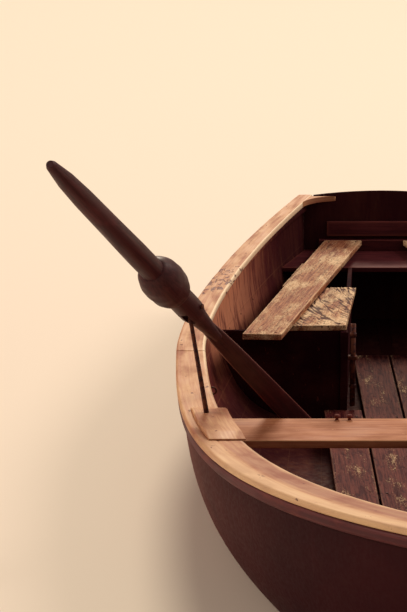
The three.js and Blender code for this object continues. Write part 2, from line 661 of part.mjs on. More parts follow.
// Swivel: its stem turns on the pin's spigot and its head carries the oar's cross bolt
function swivel() {
  const { radius, low, high, bolt, boltHalf, head, headThick } = SWIVEL;
  const around = PIN.spigot + PIN.play;
  const bore = upright(around, around, PIN.neckZ - LAP, PIN.topZ + PIN.headroom);
  const neck = upright(PIN.neck, PIN.neck, PIN.neckZ + PIN.play, low + LAP);
  const across = (r, from, to, sides) => new THREE.CylinderGeometry(r, r, to - from, sides)
    .rotateZ(Math.PI / 2).translate((from + to) / 2, 0, 0);
  const stem = toSolid(upright(radius, radius, low, high)).add(toSolid(neck)).subtract(toSolid(bore));
  const rod = toSolid(across(bolt, -boltHalf, boltHalf, 12));
  const heads = [-1, 1].map((side) => {
    const ends = [side * boltHalf, side * (boltHalf + headThick)].sort((a, b) => a - b);
    return toSolid(across(head, ...ends, 6));
  });
  return toGeometry(stem.add(rod).add(heads[0]).add(heads[1])).applyMatrix4(PIN_FRAME);
}
addPair('swivel', swivel(), 'iron');

// Oar: a turned loom and a long blade, drawn with the pivot at its origin and the blade along -Z
const BLADE_SIDE = new THREE.Vector3().crossVectors(OAR_WAY, BLADE_FACES).normalize();
const OAR_FRAME = turned(BLADE_SIDE, OAR_WAY.clone().negate(), PIVOT);

// The slot in the loom's underside, open over the whole lift, in which the swivel stands
function slot() {
  const down = PIN_AXIS.clone().negate();
  const rest = Math.acos(down.dot(OAR_WAY));
  const under = down.addScaledVector(OAR_WAY, -Math.cos(rest)).normalize();
  const at = (along, aside, angle) => new THREE.Vector2(
    along * Math.cos(angle) - aside * Math.sin(angle),
    along * Math.sin(angle) + aside * Math.cos(angle),
  );
  const [first, last] = [rest - SLOT_SPARE, rest + LIFT + SLOT_SPARE];
  const { half, side, back, reach } = SLOT;
  const near = back * Math.sin(SLOT_LAP);
  const round = stepsBetween(last + Math.PI / 2 - SLOT_LAP, first + 1.5 * Math.PI + SLOT_LAP, 6);
  const sides = [[near, -side, first], [reach, -side, first], [reach, side, last], [near, side, last]]
    .map(([along, aside, angle]) => at(along, aside, angle));
  const outline = [...sides, ...round.map((angle) => at(back, 0, angle))];
  const cut = new THREE.ExtrudeGeometry(new THREE.Shape(outline), { depth: 2 * half, bevelEnabled: false });
  cut.translate(0, 0, -half);
  const across = new THREE.Vector3().crossVectors(OAR_WAY, under);
  return cut.applyMatrix4(new THREE.Matrix4().makeBasis(OAR_WAY, under, across).setPosition(PIVOT));
}

function oar() {
  const loom = new THREE.LatheGeometry(LOOM.map(([r, z]) => new THREE.Vector2(r, z)), ROUND_SIDES);
  loom.rotateX(Math.PI / 2);
  const face = (side) => BLADE.map(([z, half, thick]) => [-1, -0.6, 0, 0.6, 1].map((u) => {
    const edge = Math.abs(u) === 1 ? BLADE_THIN : 1;
    return new THREE.Vector3(u * half, side * thick * edge, -z);
  }));
  const whole = toSolid(outwards(mergeVertices(stripped(loom), 1e-3))).add(toSolid(slab(face(1), face(-1))));
  const placed = toSolid(toGeometry(whole).applyMatrix4(OAR_FRAME));
  const hole = new THREE.CylinderGeometry(OAR.hole, OAR.hole, 200, 12).rotateZ(Math.PI / 2);
  return toGeometry(placed.subtract(toSolid(slot())).subtract(toSolid(hole.applyMatrix4(PIN_FRAME))));
}
addPair('oar', oar(), 'oar');

// A thick wooden collar around the loom, its bore 0.3 mm clear of it
function oarCollar() {
  const { from, profile, long } = COLLAR;
  const bore = OAR.grip + GAP;
  const ring = [[bore, 0], ...profile, [bore, long]].map(([r, z]) => new THREE.Vector2(r, from + z));
  const geometry = new THREE.LatheGeometry([...ring, ring[0].clone()], ROUND_SIDES).rotateX(Math.PI / 2);
  return outwards(mergeVertices(stripped(geometry), 1e-3)).applyMatrix4(OAR_FRAME);
}
addPair('oar_collar', oarCollar(), 'oar');

export default boat;
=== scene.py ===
import math
from functools import lru_cache

import bpy
import numpy as np
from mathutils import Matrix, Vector


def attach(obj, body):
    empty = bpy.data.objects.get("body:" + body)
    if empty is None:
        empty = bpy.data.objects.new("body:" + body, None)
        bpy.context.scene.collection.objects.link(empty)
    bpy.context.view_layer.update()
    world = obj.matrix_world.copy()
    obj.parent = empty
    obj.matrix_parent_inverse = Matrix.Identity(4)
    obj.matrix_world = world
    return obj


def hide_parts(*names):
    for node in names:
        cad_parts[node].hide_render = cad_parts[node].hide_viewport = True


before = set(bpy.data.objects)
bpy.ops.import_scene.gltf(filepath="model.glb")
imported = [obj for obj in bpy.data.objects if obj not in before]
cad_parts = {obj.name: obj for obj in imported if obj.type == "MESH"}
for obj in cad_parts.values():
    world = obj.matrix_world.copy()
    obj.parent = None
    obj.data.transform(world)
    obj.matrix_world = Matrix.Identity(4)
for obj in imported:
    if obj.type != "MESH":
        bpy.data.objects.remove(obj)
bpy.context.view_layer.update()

# Lines of the boat in millimetres, as in the CAD source
TRANSOM_Y, STEM_Y, BEAM_Y, HULL_END_Y = -1950, 2754, 200, 2700
CAP_HALF_BEAM, CAP_HALF_TRANSOM = 832, 344
CAP_WIDTH_STERN, CAP_WIDTH, CAP_WIDTH_BOW = 54, 98, 168
HULL_IN, HULL_IN_TRANSOM = 20, 21  # from the cap's outer edge to the hull
CURVE_AFT, CURVE_BOW = 1.615, 2.854
SHEER_LOW, SHEER_LOW_Y, RISE_BOW, RISE_STERN = 420, 400, 224, 54
KEEL_LOW, KEEL_LOW_Y, KEEL_RISE_STERN = -118, -100, 83
FOREFOOT_Y, FOREFOOT_Z, STEM_RISE = 1700, -110, 720
ROUND, ROUNDER_STERN, ROUNDER_BOW, ROUND_AFT_Y, ROUND_FORE_Y = 0.38, 0.14, 0.62, -600, 700
RAKE = math.radians(10)
GAP, PLANK, CAP_THICK, TRANSOM_THICK = 0.3, 12, 22, 25
EDGE = 25.3  # from the centreline to the planking beside the keel
SKIN_END_Y = HULL_END_Y - 10
ROW_STEP = 4  # between the cross-sections that skin_row keeps


def cap_half(y):
    if y < BEAM_Y:
        u = (BEAM_Y - y) / (BEAM_Y - TRANSOM_Y)
        return CAP_HALF_BEAM - (CAP_HALF_BEAM - CAP_HALF_TRANSOM) * u ** CURVE_AFT
    return CAP_HALF_BEAM * (1 - ((y - BEAM_Y) / (STEM_Y - BEAM_Y)) ** CURVE_BOW)


def cap_width(y):
    if y < BEAM_Y:
        return CAP_WIDTH + (CAP_WIDTH_STERN - CAP_WIDTH) * (BEAM_Y - y) / (BEAM_Y - TRANSOM_Y)
    return CAP_WIDTH + (CAP_WIDTH_BOW - CAP_WIDTH) * (y - BEAM_Y) / (STEM_Y - BEAM_Y)


def sheer(y):
    if y < SHEER_LOW_Y:
        return SHEER_LOW + RISE_STERN * ((SHEER_LOW_Y - y) / (SHEER_LOW_Y - TRANSOM_Y)) ** 2
    return SHEER_LOW + RISE_BOW * ((y - SHEER_LOW_Y) / (STEM_Y - SHEER_LOW_Y)) ** 2


def under_cap(y):
    return sheer(y) - CAP_THICK - GAP


def keel_line(y):
    if y < KEEL_LOW_Y:
        return KEEL_LOW + KEEL_RISE_STERN * ((KEEL_LOW_Y - y) / (KEEL_LOW_Y - TRANSOM_Y)) ** 2
    if y < FOREFOOT_Y:
        return KEEL_LOW + (FOREFOOT_Z - KEEL_LOW) * ((y - KEEL_LOW_Y) / (FOREFOOT_Y - KEEL_LOW_Y)) ** 2
    return FOREFOOT_Z + STEM_RISE * ((y - FOREFOOT_Y) / (HULL_END_Y - FOREFOOT_Y)) ** 4


def hull_half(y):
    beam = CAP_HALF_BEAM - HULL_IN
    if y < BEAM_Y:
        u = (BEAM_Y - y) / (BEAM_Y - TRANSOM_Y)
        return beam - (beam - CAP_HALF_TRANSOM + HULL_IN_TRANSOM) * u ** CURVE_AFT
    return EDGE + (beam - EDGE) * (1 - ((y - BEAM_Y) / (HULL_END_Y - BEAM_Y)) ** CURVE_BOW)


def fullness(y):
    """Exponent of the cross-section, which is an ellipse at 1 and fuller below."""
    if y < ROUND_AFT_Y:
        return ROUND + ROUNDER_STERN * ((ROUND_AFT_Y - y) / (ROUND_AFT_Y - TRANSOM_Y)) ** 1.5
    return ROUND + ROUNDER_BOW * (max(0, y - ROUND_FORE_Y) / (HULL_END_Y - ROUND_FORE_Y)) ** 1.5


def outside(y, t):
    """Point of the hull's outside, with t from 0 at the keel to 1 at the cap."""
    angle = math.pi / 2 * t * t
    x = EDGE + (hull_half(y) - EDGE) * math.sin(angle) ** fullness(y)
    return np.array([x, y, keel_line(y) + (under_cap(y) - keel_line(y)) * (1 - math.cos(angle))])


def hull_point(y, t, depth):
    point = outside(y, t)
    if not depth:
        return point
    along = outside(y + 5, t) - outside(y - 5, t)
    up = outside(y, min(1, t + 0.01)) - outside(y, max(0.0005, t - 0.01))
    inward = np.cross(up, along)
    inward = inward / np.linalg.norm(inward)
    if inward[0] > 0:
        inward = -inward
    return point + inward * depth


@lru_cache(None)
def skin_row(y, depth):
    row = np.array([hull_point(y, t, depth) for t in np.linspace(0, 1, 41)])
    return row[:, 2], np.maximum(row[:, 0], 1)


def nearest_row(y, depth):
    return skin_row(round(float(y) / ROW_STEP) * ROW_STEP, depth)


def skin_x(y, z, depth=PLANK + GAP):
    heights, halves = nearest_row(y, depth)
    return float(np.interp(z, heights, halves))


skin_half = np.vectorize(skin_x)


def plan_slope(half, y):
    return (half(y + 1) - half(y - 1)) / 2


def rim(y, inset):
    """Half breadth of the cap's line that runs a distance in from its outer edge, at this y."""
    nominal = y
    for _ in range(4):
        slope = plan_slope(cap_half, nominal)
        nominal = y - inset * slope / math.hypot(1, slope)
    slope = plan_slope(cap_half, nominal)
    return max(GAP / 2, cap_half(nominal) - inset / math.hypot(1, slope))


rim_x = np.vectorize(rim)


def transom_y(z):
    return TRANSOM_Y + (sheer(TRANSOM_Y) - z) * math.tan(RAKE)


# Smooth noise on a lattice, from -1 to 1, the same at each run
def lattice(points, seed):
    cell = np.floor(points).astype(np.int64)
    part = points - cell
    part = part * part * (3 - 2 * part)
    total = np.zeros(len(points))
    for corner in range(8):
        step = np.array([corner & 1, corner >> 1 & 1, corner >> 2 & 1])
        key = (cell + step) @ np.array([73856093, 19349663, 83492791]) + seed * 1013904223
        key = (key ^ key >> 13) * 1274126177 & 0xFFFFFFFF
        value = ((key ^ key >> 16) & 0xFFFF) / 32767.5 - 1
        total += value * np.prod(np.where(step, part, 1 - part), axis=1)
    return total


def noise(points, scale, seed, octaves=3):
    points = np.asarray(points, float) / np.asarray(scale, float)
    total, weight = np.zeros(len(points)), 1.0
    for k in range(octaves):
        total += lattice(points * 2 ** k, seed + 7 * k) * weight
        weight *= 0.5
    return total / 1.6


# Meshes, from millimetres. grain holds distances along, across and through the wood; an edge value is 1 at
# its edges, which are worn and also take a painted highlight, and a hollow value is 1 in its hollows. station
# holds a place along the boat, and then one across it, from 0 to 0.1 over a cap and to 1 up the skin. A side
# of -1 mirrors the piece to port.
def build(name, points, faces, look, nodes=(), body="hull", grain=None, side=1, marks=None, wear_and_highlight=None,
          sunk=None, station=None):
    points = np.array(points, float).reshape(-1, 3) * 0.001
    if side < 0:
        points[:, 0] *= -1
        faces = [face[::-1] for face in faces]
    mesh = bpy.data.meshes.new(name)
    mesh.from_pydata(points.tolist(), [], faces)
    for label, values in (("grain", grain), ("station", station)):
        if values is not None:
            metres = (np.array(values, float).reshape(-1, 3) * 0.001).astype(np.float32)
            mesh.attributes.new(label, "FLOAT_VECTOR", "POINT").data.foreach_set("vector", metres.ravel())
    for label, values in (("wear_and_highlight", wear_and_highlight), ("sunk", sunk)):
        if values is not None:
            layer = mesh.attributes.new(label, "FLOAT", "POINT")
            layer.data.foreach_set("value", np.asarray(values, np.float32).ravel())
    for material in look if isinstance(look, tuple) else (look,):
        mesh.materials.append(material)
    if marks is not None:
        mesh.polygons.foreach_set("material_index", marks)
    mesh.polygons.foreach_set("use_smooth", [True] * len(faces))
    mesh.update()
    obj = bpy.data.objects.new(name, mesh)
    bpy.context.scene.collection.objects.link(obj)
    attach(obj, body)
    if nodes:
        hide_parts(*nodes)
    return obj


def steps(length, step, radius, arc):
    """Distances along one side, close together where its ends are rounded."""
    rounding = [radius * (1 - math.cos(math.pi / 2 * k / arc)) for k in range(arc)]
    middle = np.linspace(radius, length - radius, max(2, round((length - 2 * radius) / step) + 1))
    return np.concatenate([rounding, middle, [length - r for r in reversed(rounding)]])


def grid_faces(rows, columns, start, flip):
    faces = []
    for i in range(rows - 1):
        for j in range(columns - 1):
            a = start + i * columns + j
            face = (a, a + columns, a + columns + 1, a + 1)
            faces.append(face[::-1] if flip else face)
    return faces


def walls(rows, columns):
    """Faces between the edges of two grids, the second of which follows straight after the first."""
    loop = list(range(columns)) + [i * columns + columns - 1 for i in range(1, rows)]
    loop += [(rows - 1) * columns + j for j in range(columns - 2, -1, -1)]
    loop += [i * columns for i in range(rows - 2, 0, -1)]
    count = rows * columns
    return [(a, b, b + count, a + count) for a, b in zip(loop, loop[1:] + loop[:1])]


def past_ends(values, length, radius):
    """How far each distance lies within the rounding of an end, below 0 at the first end."""
    late = np.where(values > length - radius, values - length + radius, 0)
    return np.where(values < radius, values - radius, late)


WEAR_AND_HIGHLIGHT_WIDTH = 12  # mm of each edge that counts as worn and takes a painted highlight
SUNK_DEPTH = 3  # mm of relief that counts as fully sunk, where the hollows are darkest


def rounded(length, width, thick, place, step, radius, top=None, arc=3, across_step=None):
    """A board with rounded edges. place turns distances along, across and up into points."""
    u, v = steps(length, step, radius, arc), steps(width, across_step or step, radius, arc)
    along, across = (part.ravel() for part in np.meshgrid(u, v, indexing="ij"))
    du, dv = past_ends(along, length, radius), past_ends(across, width, radius)
    most = np.maximum(abs(du), abs(dv))
    far = np.hypot(du, dv)
    pull = np.where(far > 0, most / np.maximum(far, 1e-9), 1)
    flat_u = np.clip(along, radius, length - radius) + du * pull
    flat_v = np.clip(across, radius, width - radius) + dv * pull
    drop = radius * (1 - np.sqrt(np.maximum(0, 1 - (most / radius) ** 2)))
    relief = top(flat_u, flat_v) if top else 0 * flat_u
    near = np.minimum(np.minimum(flat_u, length - flat_u), np.minimum(flat_v, width - flat_v))
    wear_and_highlight = np.clip(1 - near / WEAR_AND_HIGHLIGHT_WIDTH, 0, 1) * (near > 0.5)
    sunk = np.clip(-relief / SUNK_DEPTH, 0, 1)
    rows, columns = len(u), len(v)
    count = rows * columns
    faces = grid_faces(rows, columns, 0, False) + grid_faces(rows, columns, count, True)
    faces += walls(rows, columns)
    flat = np.concatenate([np.stack([flat_u, flat_v, up], 1) for up in (thick - drop + relief, drop)])
    points = np.array(place(flat[:, 0], flat[:, 1], flat[:, 2]), float).T
    a, b, c, d = (points[[f[k] for f in faces[: count // 2]]] for k in range(4))
    outward = (np.cross(c - a, d - b) * ((a + c) / 2 - points.mean(0))).sum()
    if outward < 0:
        faces = [face[::-1] for face in faces]
    return points, faces, flat, np.concatenate([wear_and_highlight, 0 * wear_and_highlight]), np.concatenate([sunk, 0 * sunk])


def board(name, node, slot, size, place, look, seed, side=1, **shape):
    """A rounded board of the hull. Its seed moves the grain, so that no two boards look the same."""
    points, faces, flat, wear_and_highlight, sunk = rounded(*size, place, **shape)
    grain = flat + np.array([seed * 1700.0, seed * 310.0, 0])
    build(name, points, faces, look, (node,), grain=grain, side=side, wear_and_highlight=wear_and_highlight, sunk=sunk)


def loft(rings):
    """Rings of points, one after another, with flat ends."""
    rows, columns = len(rings), len(rings[0])
    faces = []
    for i in range(rows - 1):
        for j in range(columns):
            k = (j + 1) % columns
            faces.append((i * columns + j, i * columns + k, (i + 1) * columns + k, (i + 1) * columns + j))
    faces.append(tuple(range(columns))[::-1])
    faces.append(tuple((rows - 1) * columns + j for j in range(columns)))
    return np.array(rings).reshape(-1, 3), faces


def facing_out(points, faces):
    points = np.asarray(points, float)
    volume = 0
    for face in faces:
        a = points[face[0]]
        for k in range(1, len(face) - 1):
            volume += np.dot(a, np.cross(points[face[k]], points[face[k + 1]]))
    return [face[::-1] for face in faces] if volume < 0 else faces


def lathe(profile, segments):
    """A solid turned around the z axis, from (radius, z) pairs."""
    rings = [[(r * math.cos(a), r * math.sin(a), z) for a in circle(segments)] for r, z in profile]
    points, faces = loft(rings)
    return points, facing_out(points, faces)


def circle(count):
    return np.linspace(0, 2 * math.pi, count, endpoint=False)


def turned(outline, segments):
    """A ring: a closed outline of (radius, z) pairs, turned around the z axis."""
    columns, faces = len(outline), []
    for i in range(segments):
        a, b = i * columns, (i + 1) % segments * columns
        for j in range(columns):
            k = (j + 1) % columns
            faces.append((a + j, a + k, b + k, b + j))
    points = np.array([(r * math.cos(a), r * math.sin(a), z) for a in circle(segments) for r, z in outline])
    return points, facing_out(points, faces)


def basis(axis_x, axis_z, origin=(0, 0, 0)):
    """A place that set_in puts points into: its axes as columns, and its origin."""
    axis_x, axis_z = (np.array(a, float) / np.linalg.norm(a) for a in (axis_x, axis_z))
    return np.stack([axis_x, np.cross(axis_z, axis_x), axis_z], 1), np.array(origin, float)


def set_in(points, where):
    return np.asarray(points, float) @ where[0].T + where[1]


def joined(*parts):
    points, faces, start = [], [], 0
    for some, quads in parts:
        points.append(np.asarray(some, float))
        faces += [tuple(index + start for index in face) for face in quads]
        start += len(some)
    return np.concatenate(points), faces


# Materials
class Shade:
    """A material in the making, laid out by the grain of a board or else by the place in the boat."""
    def __init__(self, name, grain=True):
        self.material = bpy.data.materials.new(name)
        self.material.use_nodes = True
        self.tree = self.material.node_tree
        self.tree.nodes.clear()
        if grain:
            self.at = self.value("grain", "Vector")
        else:
            self.at = self.node("ShaderNodeTexCoord").outputs["Object"]

    def node(self, kind, **values):
        made = self.tree.nodes.new(kind)
        for key, value in values.items():
            setattr(made, key, value)
        return made

    def value(self, label, output="Fac"):
        return self.node("ShaderNodeAttribute", attribute_name=label).outputs[output]

    def put(self, socket, value):
        """Links another node's output, or sets a number or a colour."""
        if isinstance(value, bpy.types.NodeSocket):
            self.tree.links.new(value, socket)
        else:
            socket.default_value = (*value, 1.0) if isinstance(value, tuple) else value

    def noise(self, scale, detail, rough=0.55, bend=0.0):
        """Noise with a scale of its own along each axis."""
        scaled = self.node("ShaderNodeVectorMath", operation="MULTIPLY")
        self.put(scaled.inputs[0], self.at)
        scaled.inputs[1].default_value = scale
        made = self.node("ShaderNodeTexNoise")
        self.put(made.inputs["Vector"], scaled.outputs["Vector"])
        for label, number in (("Scale", 1.0), ("Detail", detail), ("Roughness", rough), ("Distortion", bend)):
            made.inputs[label].default_value = number
        return made.outputs["Fac"]

    def span(self, value, a, b, c=0.0, d=1.0):
        """c where the value is a, d where it is b, smooth in between and flat beyond."""
        made = self.node("ShaderNodeMapRange", clamp=True, interpolation_type="SMOOTHSTEP")
        for socket, number in zip(made.inputs[:5], (value, a, b, c, d)):
            self.put(socket, number)
        return made.outputs["Result"]

    def math(self, operation, a, b):
        made = self.node("ShaderNodeMath", operation=operation)
        self.put(made.inputs[0], a)
        self.put(made.inputs[1], b)
        return made.outputs["Value"]

    def times(self, a, b):
        return self.math("MULTIPLY", a, b)

    def plus(self, a, b):
        return self.math("ADD", a, b)

    def mix(self, share, a, b):
        made = self.node("ShaderNodeMix", data_type="RGBA")
        self.put(made.inputs["Factor"], share)
        self.put(made.inputs[6], a)
        self.put(made.inputs[7], b)
        return made.outputs[2]

    def part(self, index, at=None):
        made = self.node("ShaderNodeSeparateXYZ")
        self.put(made.inputs[0], at or self.at)
        return made.outputs[index]

    def seams(self):
        """Lines between the planks of the skin."""
        up = self.math("SUBTRACT", self.part(1, self.value("station", "Vector")), SEAM_AT)
        return self.span(self.math("PINGPONG", up, SEAM_STEP / 2), 0.003, 0.001)

    def done(self, color, rough, height=None, strength=0.4, distance=0.002, metallic=0.0, specular=0.2):
        """Ends the material. strength and distance are those of the bump that height gives."""
        shader = self.node("ShaderNodeBsdfPrincipled")
        self.put(shader.inputs["Base Color"], color)
        for label, number in (("Roughness", rough), ("Metallic", metallic), ("Specular IOR Level", specular)):
            self.put(shader.inputs[label], number)
        if height is not None:
            bump = self.node("ShaderNodeBump")
            bump.inputs["Strength"].default_value = strength
            bump.inputs["Distance"].default_value = distance
            self.put(bump.inputs["Height"], height)
            self.put(shader.inputs["Normal"], bump.outputs["Normal"])
        output = self.node("ShaderNodeOutputMaterial")
        self.put(output.inputs["Surface"], shader.outputs["BSDF"])
        return self.material


SEAM_STEP, SEAM_AT = 0.13, 0.36  # up the skin, from 0 at the keel to 1 at the cap
CREAM, PALE, TAN, BROWN = (0.86, 0.64, 0.38), (0.62, 0.36, 0.18), (0.47, 0.20, 0.10), (0.25, 0.072, 0.050)
DEEP, WINE, INK = (0.118, 0.023, 0.026), (0.060, 0.009, 0.014), (0.020, 0.003, 0.006)


def varnished():
    """Cap wood: chipped along a stretch aft, brown in its middle towards the bow, with a painted highlight
    along its outer edge towards the bow and along its inner edge, strongest aft.
    """
    s = Shade("cap_wood")
    streaks = s.noise((5, 110, 60), 5, 0.6, 0.4)
    cloudy = s.noise((7, 16, 16), 4)
    grime = s.noise((22, 40, 40), 5, 0.65, 0.3)
    station = s.value("station", "Vector")
    ahead, inset = s.part(0, station), s.part(1, station)
    color = s.mix(s.span(streaks, 0.3, 0.7), TAN, PALE)
    color = s.mix(s.span(cloudy, 0.45, 0.7, 0, 0.55), color, BROWN)
    bow = s.span(ahead, 1.15, 1.7)
    band = s.times(s.span(inset, 0.036, 0.056), s.span(inset, 0.097, 0.080))
    color = s.mix(s.times(s.times(bow, band), 0.55), color, BROWN)
    # Painted highlight: the outer part of the cap towards the bow is paler, where light would catch the
    # rounded edge.
    rim_highlight = s.times(s.times(bow, s.span(inset, 0.046, 0.024)), 0.45)
    color = s.mix(rim_highlight, color, CREAM)
    # Painted highlight: a pale line along the inner edge, strongest aft and faint towards the bow.
    aft = s.span(ahead, 0.6, 0.1, 0.25, 0.95)
    color = s.mix(s.times(s.span(inset, 0.088, 0.094), aft), color, (0.95, 0.78, 0.54))
    stretch = s.times(s.span(ahead, -0.95, -0.82), s.span(ahead, -0.46, -0.58))
    chips = s.span(s.plus(grime, s.times(stretch, 0.12)), 0.65, 0.68)
    color = s.mix(s.times(chips, 0.9), color, DEEP)
    height = s.plus(s.times(streaks, 0.35), s.times(chips, -1.0))
    return s.done(color, s.span(cloudy, 0.3, 0.7, 0.48, 0.66), height, 0.5, 0.0012, specular=0.18)


def rail_wood():
    s = Shade("rail_wood")
    streaks = s.noise((5, 90, 60), 5, 0.6, 0.4)
    cloudy = s.noise((6, 14, 14), 4)
    color = s.mix(s.span(streaks, 0.3, 0.7), WINE, DEEP)
    color = s.mix(s.span(cloudy, 0.5, 0.72, 0, 0.5), color, BROWN)
    return s.done(color, s.span(cloudy, 0.3, 0.7, 0.5, 0.66), streaks, 0.35, 0.001)


def seat_wood(name, low, high, edge):
    s = Shade(name)
    streaks = s.noise((4, 90, 60), 5, 0.6, 0.5)
    cloudy = s.noise((6, 12, 12), 4)
    grime = s.noise((30, 60, 50), 5, 0.65, 0.3)
    wear_and_highlight = s.value("wear_and_highlight")
    color = s.mix(s.span(streaks, 0.3, 0.7), low, high)
    color = s.mix(s.span(cloudy, 0.42, 0.72, 0, 0.6), color, tuple(0.6 * part for part in low))
    # Paler edges: worn wood, and a painted highlight along the lit edges.
    color = s.mix(s.times(wear_and_highlight, 0.5), color, edge)
    marks = s.span(grime, 0.67, 0.72)
    color = s.mix(s.times(marks, 0.7), color, edge)
    return s.done(color, s.span(cloudy, 0.3, 0.7, 0.55, 0.75), streaks, 0.4, 0.0012, specular=0.12)


def flaking(name, low, high, least, soft, worn_and_lit, gloss):
    """Pale paint in thin patches over brown wood, dark in the cracks; a higher least leaves less paint."""
    s = Shade(name)
    streaks = s.noise((7, 150, 60), 6, 0.65, 0.5)
    patches = s.noise((6, 18, 20), 3, 0.5, 0.3)
    fine = s.noise((70, 230, 200), 5, 0.62, 0.6)
    wear_and_highlight, sunk = s.value("wear_and_highlight"), s.value("sunk")
    color = s.mix(s.span(streaks, 0.34, 0.66), low, high)
    mixed = s.plus(s.times(patches, 0.55), s.times(fine, 0.45))
    paint = s.span(mixed, least, least + soft)
    color = s.mix(s.times(paint, 0.8), color, CREAM)
    # Paler edges: worn paint, and a painted highlight along the lit edges.
    color = s.mix(s.times(s.span(wear_and_highlight, 0.35, 0.9), worn_and_lit), color, CREAM)
    pits = s.span(s.plus(s.times(fine, 0.7), s.times(streaks, 0.3)), 0.43, 0.34)
    color = s.mix(s.times(pits, 0.7), color, DEEP)
    # Darker in the hollows of the relief.
    color = s.mix(s.times(s.span(sunk, 0.35, 0.85), 0.9), color, WINE)
    height = s.plus(s.times(paint, 0.5), s.math("SUBTRACT", fine, pits))
    return s.done(color, 0.66, height, 0.8, 0.0018, specular=gloss)


def inner_paint():
    """Thin brown paint with streaks running down, a painted pool of light on the side beside and above the
    benches, and painted shade aft and low down.
    """
    s = Shade("inside_paint", grain=False)
    streaks = s.noise((26, 26, 2.2), 5, 0.65, 0.3)
    cloudy = s.noise((3.2, 3.2, 2.4), 4)
    speck = s.noise((60, 60, 60), 4, 0.6)
    along, up, seam = s.part(1), s.part(2), s.seams()
    color = s.mix(s.span(cloudy, 0.35, 0.65), DEEP, BROWN)
    # Painted pool of light: paler on the side beside and above the benches.
    worn_and_lit = s.times(s.span(along, -1.45, -0.8), s.span(along, -0.3, -0.6))
    worn_and_lit = s.times(worn_and_lit, s.span(up, 0.08, 0.24))
    color = s.mix(worn_and_lit, color, (0.68, 0.29, 0.17))
    color = s.mix(s.span(streaks, 0.54, 0.70, 0, 0.4), color, TAN)
    color = s.mix(s.span(streaks, 0.53, 0.40, 0, 0.75), color, DEEP)
    color = s.mix(s.times(seam, 0.25), color, TAN)
    # Painted shade, darkest aft and low down.
    shade = s.math("MAXIMUM", s.span(along, -1.1, -1.7, 0, 0.85), s.span(up, 0.12, 0.0, 0, 0.7))
    color = s.mix(shade, color, INK)
    height = s.plus(s.times(speck, 0.6), s.times(streaks, 0.5))
    height = s.plus(height, seam)
    return s.done(color, s.span(speck, 0.3, 0.7, 0.6, 0.8), height, 0.35, 0.0015, specular=0.04)


def outer_paint():
    """Smooth dark paint, streaked and darker along the waterline, lighter from the beam aft as a painted
    reflection, and darker towards the bow as painted shade.
    """
    s = Shade("hull_paint", grain=False)
    cloudy = s.noise((2.5, 2.5, 3.5), 4)
    streaks = s.noise((14, 14, 1.6), 4, 0.6, 0.2)
    speck = s.noise((80, 80, 80), 4, 0.6)
    color = s.mix(s.span(cloudy, 0.3, 0.7), (0.042, 0.005, 0.007), (0.075, 0.010, 0.011))
    color = s.mix(s.span(streaks, 0.55, 0.75, 0, 0.35), color, DEEP)
    # Painted reflection: lighter from the beam aft, along the hull's widest part.
    color = s.mix(s.span(s.part(1), 1.5, 0.7, 0, 0.5), color, (0.17, 0.040, 0.032))
    # Painted shade: darker towards the bow.
    color = s.mix(s.span(s.part(1), 0.9, 2.1, 0, 0.7), color, INK)
    # Darker along the waterline.
    near_waterline = s.span(s.plus(s.part(2), s.times(cloudy, 0.03)), 0.045, 0.01)
    color = s.mix(s.times(near_waterline, 0.7), color, INK)
    height = s.math("SUBTRACT", s.plus(speck, streaks), s.times(s.seams(), 0.8))
    return s.done(color, s.span(speck, 0.3, 0.7, 0.5, 0.64), height, 0.2, 0.001, specular=0.05)


def dark_paint():
    s = Shade("dark_paint", grain=False)
    cloudy = s.noise((5, 5, 7), 4)
    speck = s.noise((70, 70, 30), 4, 0.6)
    color = s.mix(s.span(cloudy, 0.35, 0.7), INK, (0.060, 0.013, 0.014))
    color = s.mix(s.span(speck, 0.64, 0.74, 0, 0.5), color, BROWN)
    return s.done(color, s.span(speck, 0.3, 0.7, 0.78, 0.92), speck, 0.4, 0.0015, specular=0.04)


def rusty():
    s = Shade("old_iron", grain=False)
    patches = s.noise((60, 60, 60), 5, 0.65, 0.4)
    grit = s.noise((420, 420, 420), 3, 0.6)
    color = s.mix(s.span(patches, 0.42, 0.62), (0.040, 0.012, 0.013), (0.15, 0.048, 0.026))
    color = s.mix(s.span(grit, 0.62, 0.75, 0, 0.5), color, (0.30, 0.13, 0.06))
    rough = s.span(patches, 0.3, 0.7, 0.45, 0.75)
    return s.done(color, rough, s.plus(patches, grit), 0.5, 0.0006, metallic=0.4)


def oar_varnish():
    s = Shade("oar_wood")
    streaks = s.noise((5, 140, 140), 4, 0.6, 0.3)
    cloudy = s.noise((8, 20, 20), 4)
    wear_and_highlight = s.value("wear_and_highlight")
    color = s.mix(s.span(streaks, 0.3, 0.7), (0.034, 0.006, 0.009), (0.070, 0.014, 0.016))
    color = s.mix(s.span(cloudy, 0.58, 0.75, 0, 0.5), color, DEEP)
    # Paler blade edges: wear, and a painted highlight along the lit edges.
    color = s.mix(s.times(wear_and_highlight, 0.6), color, BROWN)
    return s.done(color, s.span(cloudy, 0.3, 0.7, 0.42, 0.58), streaks, 0.3, 0.0008, specular=0.25)


CAP, RAIL, INNER = varnished(), rail_wood(), inner_paint()
SEAT = seat_wood("thwart_wood", (0.36, 0.125, 0.06), (0.54, 0.24, 0.12), PALE)
# Seat wood darkened as painted shade, for the boards and pads in the stern's shadow; the thwart knobs use it
# too.
SHADED_SEAT = seat_wood("shaded_seat_wood", WINE, DEEP, BROWN)
BENCH = flaking("bench_wood", (0.22, 0.064, 0.036), (0.50, 0.22, 0.105), 0.46, 0.17, 0.5, 0.18)
ROUGH = flaking("bench_wood_rough", (0.21, 0.060, 0.034), (0.52, 0.24, 0.11), 0.43, 0.13, 0.5, 0.18)
